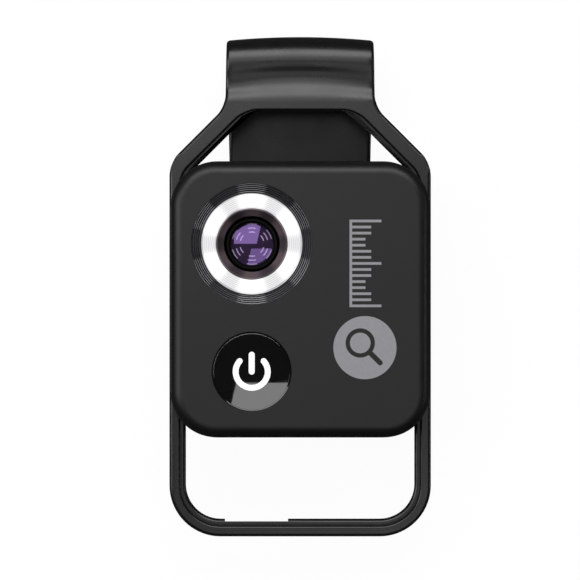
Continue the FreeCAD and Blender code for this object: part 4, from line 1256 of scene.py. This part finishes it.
class CLIPLENS_OT_prints(bpy.types.Operator):
    """Prints a plain graduated scale and a round sign with a magnifier on the front"""

    bl_idname = "cliplens.prints"
    bl_label = "Front prints"

    # Places of the prints from the middle of the front
    SCALE_MIDDLE = (10.4, 5.79)
    SIGN_MIDDLE = (10.32, -7.69)
    SCALE_SIZE = (5.1, 14.0)
    TICKS = 15
    TICK_WIDTH = 0.42
    # In each group of ticks the first is long and two are short: their lengths as shares of the width
    TICK_GROUP = 7
    SHORT_TICKS = (3, 4)
    LONG, MIDDLE, SHORT = 1.0, 0.68, 0.5
    SIGN_RADIUS = 5.05
    # The magnifier's rim: how far its middle is up and to the left, and its two radii
    GLASS = (0.75, 2.35, 1.65)
    # Its handle: half its width, where it starts, its length and the rounding of its end
    HANDLE = (0.42, 2.2, 2.7, 0.4)

    def execute(self, context):
        top = high("front_housing").z
        face = top - INK
        grey = ink("ink_grey", tuple(colours().print_grey))
        fit(self.make_scale(face, top), "module", grey)
        fit(self.make_sign(face, top), "module", grey)
        return {"FINISHED"}

    def make_scale(self, face, top):
        """A ladder of long, middle and short ticks along a line."""
        middle = centre("front_housing")
        x, y = (start + value * MM for start, value in zip(middle, self.SCALE_MIDDLE))
        width, length = (value * MM for value in self.SCALE_SIZE)
        tick = self.TICK_WIDTH * MM
        left = x - width / 2
        pieces = [slab("scale_line", (left, y - length / 2, face), (left + tick, y + length / 2, top))]
        for number in range(self.TICKS):
            place = number % self.TICK_GROUP
            share = self.LONG if place == 0 else self.SHORT if place in self.SHORT_TICKS else self.MIDDLE
            level = y - length / 2 + tick / 2 + (length - tick) * number / (self.TICKS - 1)
            pieces.append(slab("scale_tick", (left + tick / 2, level - tick / 2, face),
                               (left + width * share, level + tick / 2, top)))
        scale = pieces[0]
        for piece in pieces[1:]:
            carve(scale, piece, "UNION")
        scale.name = "front_scale"
        return scale

    def make_sign(self, face, top):
        """A filled disc with a magnifier left open in it."""
        middle = centre("front_housing")
        x, y = (start + value * MM for start, value in zip(middle, self.SIGN_MIDDLE))
        sign = disc("front_sign", (x, y), self.SIGN_RADIUS * MM, face, top, steps=96)
        below, above = face - PAST, top + PAST
        off, rim, core = (value * MM for value in self.GLASS)
        glass = (x - off, y + off)
        tool = disc("glass_tool", glass, rim, below, above, steps=64)
        carve(tool, disc("glass_core", glass, core, below - PAST, above + PAST, steps=64))
        carve(sign, tool)
        half_width, start, length, end_round = (value * MM for value in self.HANDLE)
        way = Vector((1, -1)).normalized()
        side = Vector((way.y, -way.x)) * half_width
        near = Vector(glass) + way * start
        far = near + way * length
        corners = [tuple(corner) for corner in (near - side, far - side, far + side, near + side)]
        carve(sign, prism("handle_tool", corners, below, above, {1: end_round, 2: end_round}, steps=8))
        return sign


class CLIPLENS_OT_hardware(bpy.types.Operator):
    """Makes the screws behind and the socket's contacts, and finishes the parts inside"""

    bl_idname = "cliplens.hardware"
    bl_label = "Hardware and insides"

    HEAD = (1.35, 0.65)
    # The head's soft edge: shares of its radius, each with its height above the head's face
    HEAD_EDGE = ((0.55, 0), (0.82, 0.08), (0.96, 0.22), (1.0, 0.4))
    SHANK = 0.7
    # The shank's end: its share of the shank's radius, and its length
    POINT = (0.6, 0.4)
    CROSS = (1.5, 0.34, 0.35)
    CONTACTS = 6
    # A contact: half its width and height, and how far it keeps from the tongue's two ends
    CONTACT = (0.22, 0.03, 0.4, 0.6)
    TRACKS = 2.2

    def execute(self, context):
        steel = metal("steel_plated", "A7A7A8", rough=0.3, lump=0.8 * MM)
        self.make_screws(steel)
        self.make_contacts()
        nickel = metal("steel_nickel_plated", "B4B2AE", rough=0.26, lump=0.8 * MM)
        epoxy = moulded("moulding_black_epoxy", "17171A", "121214",
                        rough=0.35, lump=0.2 * MM, depth=0.01 * MM)
        pom = moulded("pom_white", "DAD7CC", "CFCBBE", rough=0.4, lump=0.2 * MM, depth=0.01 * MM)
        foil = metal("foil_pouch_silver", "BDBDC0", rough=0.35, lump=1.5 * MM, varies=0.1)
        foam = moulded("foam_tape_grey", "77777A", "6C6C70", rough=0.8, lump=0.3 * MM, depth=0.05 * MM)
        phosphor = moulded("lamp_phosphor_yellow", "E9DC8E", "DDCF7A",
                           rough=0.45, lump=0.2 * MM, depth=0.01 * MM)
        ribbon = moulded("polyimide_amber", "B4691E", "9C5714",
                         rough=0.25, lump=0.5 * MM, depth=0.01 * MM)
        board = self.circuit()
        finishes = {
            "charging_socket": nickel, "switch_body": steel, "board_chips": epoxy,
            "socket_tongue": epoxy, "switch_plunger": pom, "battery_cell": foil,
            "battery_tape": foam, "main_board": board, "lamp_board": board,
            "ring_lamps": phosphor, "lamp_ribbon": ribbon,
        }
        for node, finish in finishes.items():
            paint_node(node, finish)
        return {"FINISHED"}

    def make_screws(self, steel):
        """Pan-head screws with a cross recess, one modelled and copied."""
        radius, height = (value * MM for value in self.HEAD)
        shank = self.SHANK * MM
        point_share, point_length = self.POINT
        start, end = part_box("case_screws")
        (x, y), other = (end.x - radius, end.y - radius), (start.x + radius, start.y + radius)
        face = start.z
        profile = [(0, face)]
        profile += [(radius * share, face + rise * MM) for share, rise in self.HEAD_EDGE]
        profile += [(radius, face + height), (shank, face + height),
                    (shank, end.z - point_length * MM), (shank * point_share, end.z), (0, end.z)]
        screw = turned("screw", (x, y), profile, closed=False, steps=48)
        length, width, depth = (value * MM for value in self.CROSS)
        for across, along in ((length, width), (width, length)):
            tool = slab("cross_tool", (x - across / 2, y - along / 2, face - PAST),
                        (x + across / 2, y + along / 2, face + depth))
            carve(screw, tool)
        copy = screw.copy()
        copy.data = screw.data.copy()
        bpy.context.collection.objects.link(copy)
        copy.data.transform(Matrix.Translation((other[0] - x, other[1] - y, 0)))
        screws = join("screws", [screw, copy])
        fit(screws, "module", steel, ["case_screws"])

    def make_contacts(self):
        """The gold strips on the socket's tongue."""
        start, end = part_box("socket_tongue")
        half_width, half_height, from_mouth, from_root = (value * MM for value in self.CONTACT)
        pieces = []
        for number in range(self.CONTACTS):
            x = start.x + (end.x - start.x) * (number + 0.5) / self.CONTACTS
            for level in (start.z, end.z):
                pieces.append(slab(
                    "contact", (x - half_width, start.y + from_mouth, level - half_height),
                    (x + half_width, end.y - from_root, level + half_height)))
        contacts = join("socket_contacts", pieces)
        fit(contacts, "module", metal("gold_plated", "D9B25A", rough=0.25, lump=0.5 * MM))

    def circuit(self):
        """A printed circuit board: green solder resist over paler copper tracks."""
        material, tree, place = new_material("fr4_green_resist")
        tracks = add_node(tree, "ShaderNodeTexBrick", inputs={
            "Vector": place, "Scale": 1 / (self.TRACKS * MM), "Mortar Size": 0.06,
            "Color1": linear("1F6B3C"), "Color2": linear("1B6337"), "Mortar": linear("3F9A5E")})
        bump = add_node(tree, "ShaderNodeBump", inputs={
            "Height": tracks.outputs["Fac"], "Strength": 0.4, "Distance": 0.03 * MM})
        shader = add_node(tree, "ShaderNodeBsdfPrincipled", inputs={
            "Base Color": tracks.outputs["Color"],
            "Roughness": 0.3,
            "Normal": bump.outputs["Normal"],
        })
        add_node(tree, "ShaderNodeOutputMaterial", inputs={"Surface": shader.outputs["BSDF"]})
        return material


class CLIPLENS_OT_stage(bpy.types.Operator):
    """Sets up the pale floor, the soft lights and the camera above"""

    bl_idname = "cliplens.stage"
    bl_label = "Stage"

    CAMERA = (-1.67, -0.69, 441.4)
    PICTURE_WIDTH = 95.28
    PLANE = 11.4
    SENSOR = 36.0
    CLIP_RANGE = (0.01, 20)
    FLOOR_SIZE = 6.0
    FLOOR_LEVEL = -0.0002
    # The paper's share of plain white, and how bright it shows in gloss, as if in a darker room
    PAPER_WHITE = 0.95
    PAPER_IN_GLOSS = 0.01
    # The room's own light, and by how much gloss sees it darker
    ROOM = 0.24
    ROOM_IN_GLOSS = -0.21
    # Softboxes: middle, point faced and sides in metres, turn in degrees, radiance, lean of one side
    LIGHTS = {
        "key_light": ((0.0874, -0.1805, 0.622), (0.0874, -0.1805, 0), (0.361, 0.284), 0, 1.42, 0.24),
        "fill_light": ((-0.0705, 0.164, 0.622), (-0.0705, 0.164, 0), (0.361, 0.284), 180, 2.1, 0.24),
        "top_light": ((0, 0.45, 0.54), (0, 0.0, 0.01), (0.8, 0.35), 0, 4.8, 0),
        "left_light": ((-0.46, 0.05, 0.4), (0, 0, 0.01), (0.25, 0.5), 0, 3.6, 0),
        "right_light": ((0.62, 0.0, 0.16), (0, 0, 0.01), (0.3, 0.06), 0, 4.0, 0),
    }

    def execute(self, context):
        self.make_floor()
        self.make_world()
        self.make_camera()
        for name, setting in self.LIGHTS.items():
            self.make_light(name, *setting)
        return {"FINISHED"}

    @staticmethod
    def seen_rays(tree):
        """1 where the camera looks, also through glass, and 1 where something glossy looks."""
        rays = add_node(tree, "ShaderNodeLightPath")
        seen = add_node(tree, "ShaderNodeMath", {"operation": "ADD", "use_clamp": True}, {
            0: rays.outputs["Is Camera Ray"], 1: rays.outputs["Is Transmission Ray"]})
        return seen.outputs[0], rays.outputs["Is Glossy Ray"]

    def make_floor(self):
        """White paper that the camera sees as plain white, with the part's shadow left on it."""
        bpy.ops.object.select_all(action="DESELECT")
        bpy.ops.mesh.primitive_plane_add(size=self.FLOOR_SIZE, location=(0, 0, self.FLOOR_LEVEL))
        floor = settle("floor")
        material, tree, _ = new_material("paper_white_floor")
        seen, glossy = self.seen_rays(tree)
        gloss = add_node(tree, "ShaderNodeMath", {"operation": "MULTIPLY"}, {
            0: glossy, 1: self.PAPER_IN_GLOSS})
        level = add_node(tree, "ShaderNodeMath", {"operation": "ADD"}, {0: seen, 1: gloss.outputs[0]})
        every = add_node(tree, "ShaderNodeMath", {"operation": "ADD", "use_clamp": True}, {
            0: seen, 1: glossy})
        share = add_node(tree, "ShaderNodeMath", {"operation": "MULTIPLY"}, {
            0: every.outputs[0], 1: self.PAPER_WHITE})
        paper = add_node(tree, "ShaderNodeBsdfDiffuse", inputs={"Color": linear("F4F4F4")})
        white = add_node(tree, "ShaderNodeEmission", inputs={
            "Color": (1, 1, 1, 1), "Strength": level.outputs[0]})
        mixed = add_node(tree, "ShaderNodeMixShader", inputs={
            0: share.outputs[0], 1: paper.outputs["BSDF"], 2: white.outputs["Emission"]})
        add_node(tree, "ShaderNodeOutputMaterial", inputs={"Surface": mixed.outputs["Shader"]})
        floor.data.materials.append(material)

    def make_world(self):
        """A dim even room, white where the camera sees it."""
        world = bpy.data.worlds.new("studio")
        bpy.context.scene.world = world
        world.use_nodes = True
        tree = world.node_tree
        tree.nodes.clear()
        seen, glossy = self.seen_rays(tree)
        gloss = add_node(tree, "ShaderNodeMath", {"operation": "MULTIPLY"}, {
            0: glossy, 1: self.ROOM_IN_GLOSS})
        room = add_node(tree, "ShaderNodeMath", {"operation": "ADD"}, {0: gloss.outputs[0], 1: self.ROOM})
        strength = add_node(tree, "ShaderNodeMath", {"operation": "MAXIMUM"}, {
            0: seen, 1: room.outputs[0]})
        light = add_node(tree, "ShaderNodeBackground", inputs={
            "Color": (1, 1, 1, 1), "Strength": strength.outputs[0]})
        add_node(tree, "ShaderNodeOutputWorld", inputs={"Surface": light.outputs[0]})

    def make_camera(self):
        """The camera straight above, whose lens makes the part's front as wide as in the picture."""
        data = bpy.data.cameras.new("camera")
        camera = bpy.data.objects.new("camera", data)
        bpy.context.collection.objects.link(camera)
        camera.location = Vector(self.CAMERA) * MM
        distance = self.CAMERA[2] - self.PLANE
        data.sensor_width = self.SENSOR
        data.lens = self.SENSOR * distance / self.PICTURE_WIDTH
        data.clip_start, data.clip_end = self.CLIP_RANGE
        bpy.context.scene.camera = camera
        bpy.context.scene.view_settings.view_transform = "Standard"

    @staticmethod
    def make_light(name, place, target, sides, turn, radiance, lean):
        """A softbox. A flap slants one of its sides where lean isn't zero."""
        data = bpy.data.lights.new(name, "AREA")
        data.shape = "RECTANGLE"
        data.size, data.size_y = sides
        data.energy = radiance * math.pi * sides[0] * sides[1]
        light = bpy.data.objects.new(name, data)
        bpy.context.collection.objects.link(light)
        light.location = place
        way = (Vector(target) - Vector(place)).to_track_quat("-Z", "Y")
        light.rotation_euler = (way.to_matrix() @ Matrix.Rotation(math.radians(turn), 3, "Z")).to_euler()
        light.visible_camera = False
        if not lean:
            return
        data.use_nodes = True
        tree = data.node_tree
        spot = add_node(tree, "ShaderNodeNewGeometry").outputs["Parametric"]
        parts = add_node(tree, "ShaderNodeSeparateXYZ", inputs={"Vector": spot})
        run = lean * sides[1] / sides[0]
        edge = add_node(tree, "ShaderNodeMath", {"operation": "MULTIPLY"}, {
            0: parts.outputs["Y"], 1: run})
        open_part = add_node(tree, "ShaderNodeMath", {"operation": "GREATER_THAN"}, {
            0: parts.outputs["X"], 1: edge.outputs[0]})
        tree.links.new(open_part.outputs[0], tree.nodes["Emission"].inputs["Strength"])


class CLIPLENS_PT_panel(bpy.types.Panel):
    """Lists the pieces, in the order in which they are made"""

    bl_idname = "CLIPLENS_PT_panel"
    bl_label = "Clip Lens"
    bl_space_type = "VIEW_3D"
    bl_region_type = "UI"
    bl_category = "Clip Lens"

    def draw(self, context):
        layout = self.layout
        for group in (context.scene.clip_lens_sizes, context.scene.clip_lens_colours):
            for name in group.__annotations__:
                layout.prop(group, name)
        for operator in OPERATORS:
            layout.operator(operator.bl_idname)


OPERATORS = (
    CLIPLENS_OT_stage,
    CLIPLENS_OT_clip,
    CLIPLENS_OT_rear_case,
    CLIPLENS_OT_front_case,
    CLIPLENS_OT_ring_light,
    CLIPLENS_OT_optics,
    CLIPLENS_OT_button,
    CLIPLENS_OT_prints,
    CLIPLENS_OT_hardware,
)
CLASSES = (ClipLensSizes, ClipLensColours, *OPERATORS, CLIPLENS_PT_panel)


def register():
    """Registers the classes and the scene's settings."""
    for item in CLASSES:
        bpy.utils.register_class(item)
    bpy.types.Scene.clip_lens_sizes = bpy.props.PointerProperty(type=ClipLensSizes)
    bpy.types.Scene.clip_lens_colours = bpy.props.PointerProperty(type=ClipLensColours)


def unregister():
    """Takes the classes and settings out again."""
    del bpy.types.Scene.clip_lens_colours
    del bpy.types.Scene.clip_lens_sizes
    for item in reversed(CLASSES):
        bpy.utils.unregister_class(item)


def main():
    """Builds every piece in order."""
    register()
    for operator in OPERATORS:
        group, name = operator.bl_idname.split(".")
        getattr(getattr(bpy.ops, group), name)()


if __name__ == "__main__":
    main()
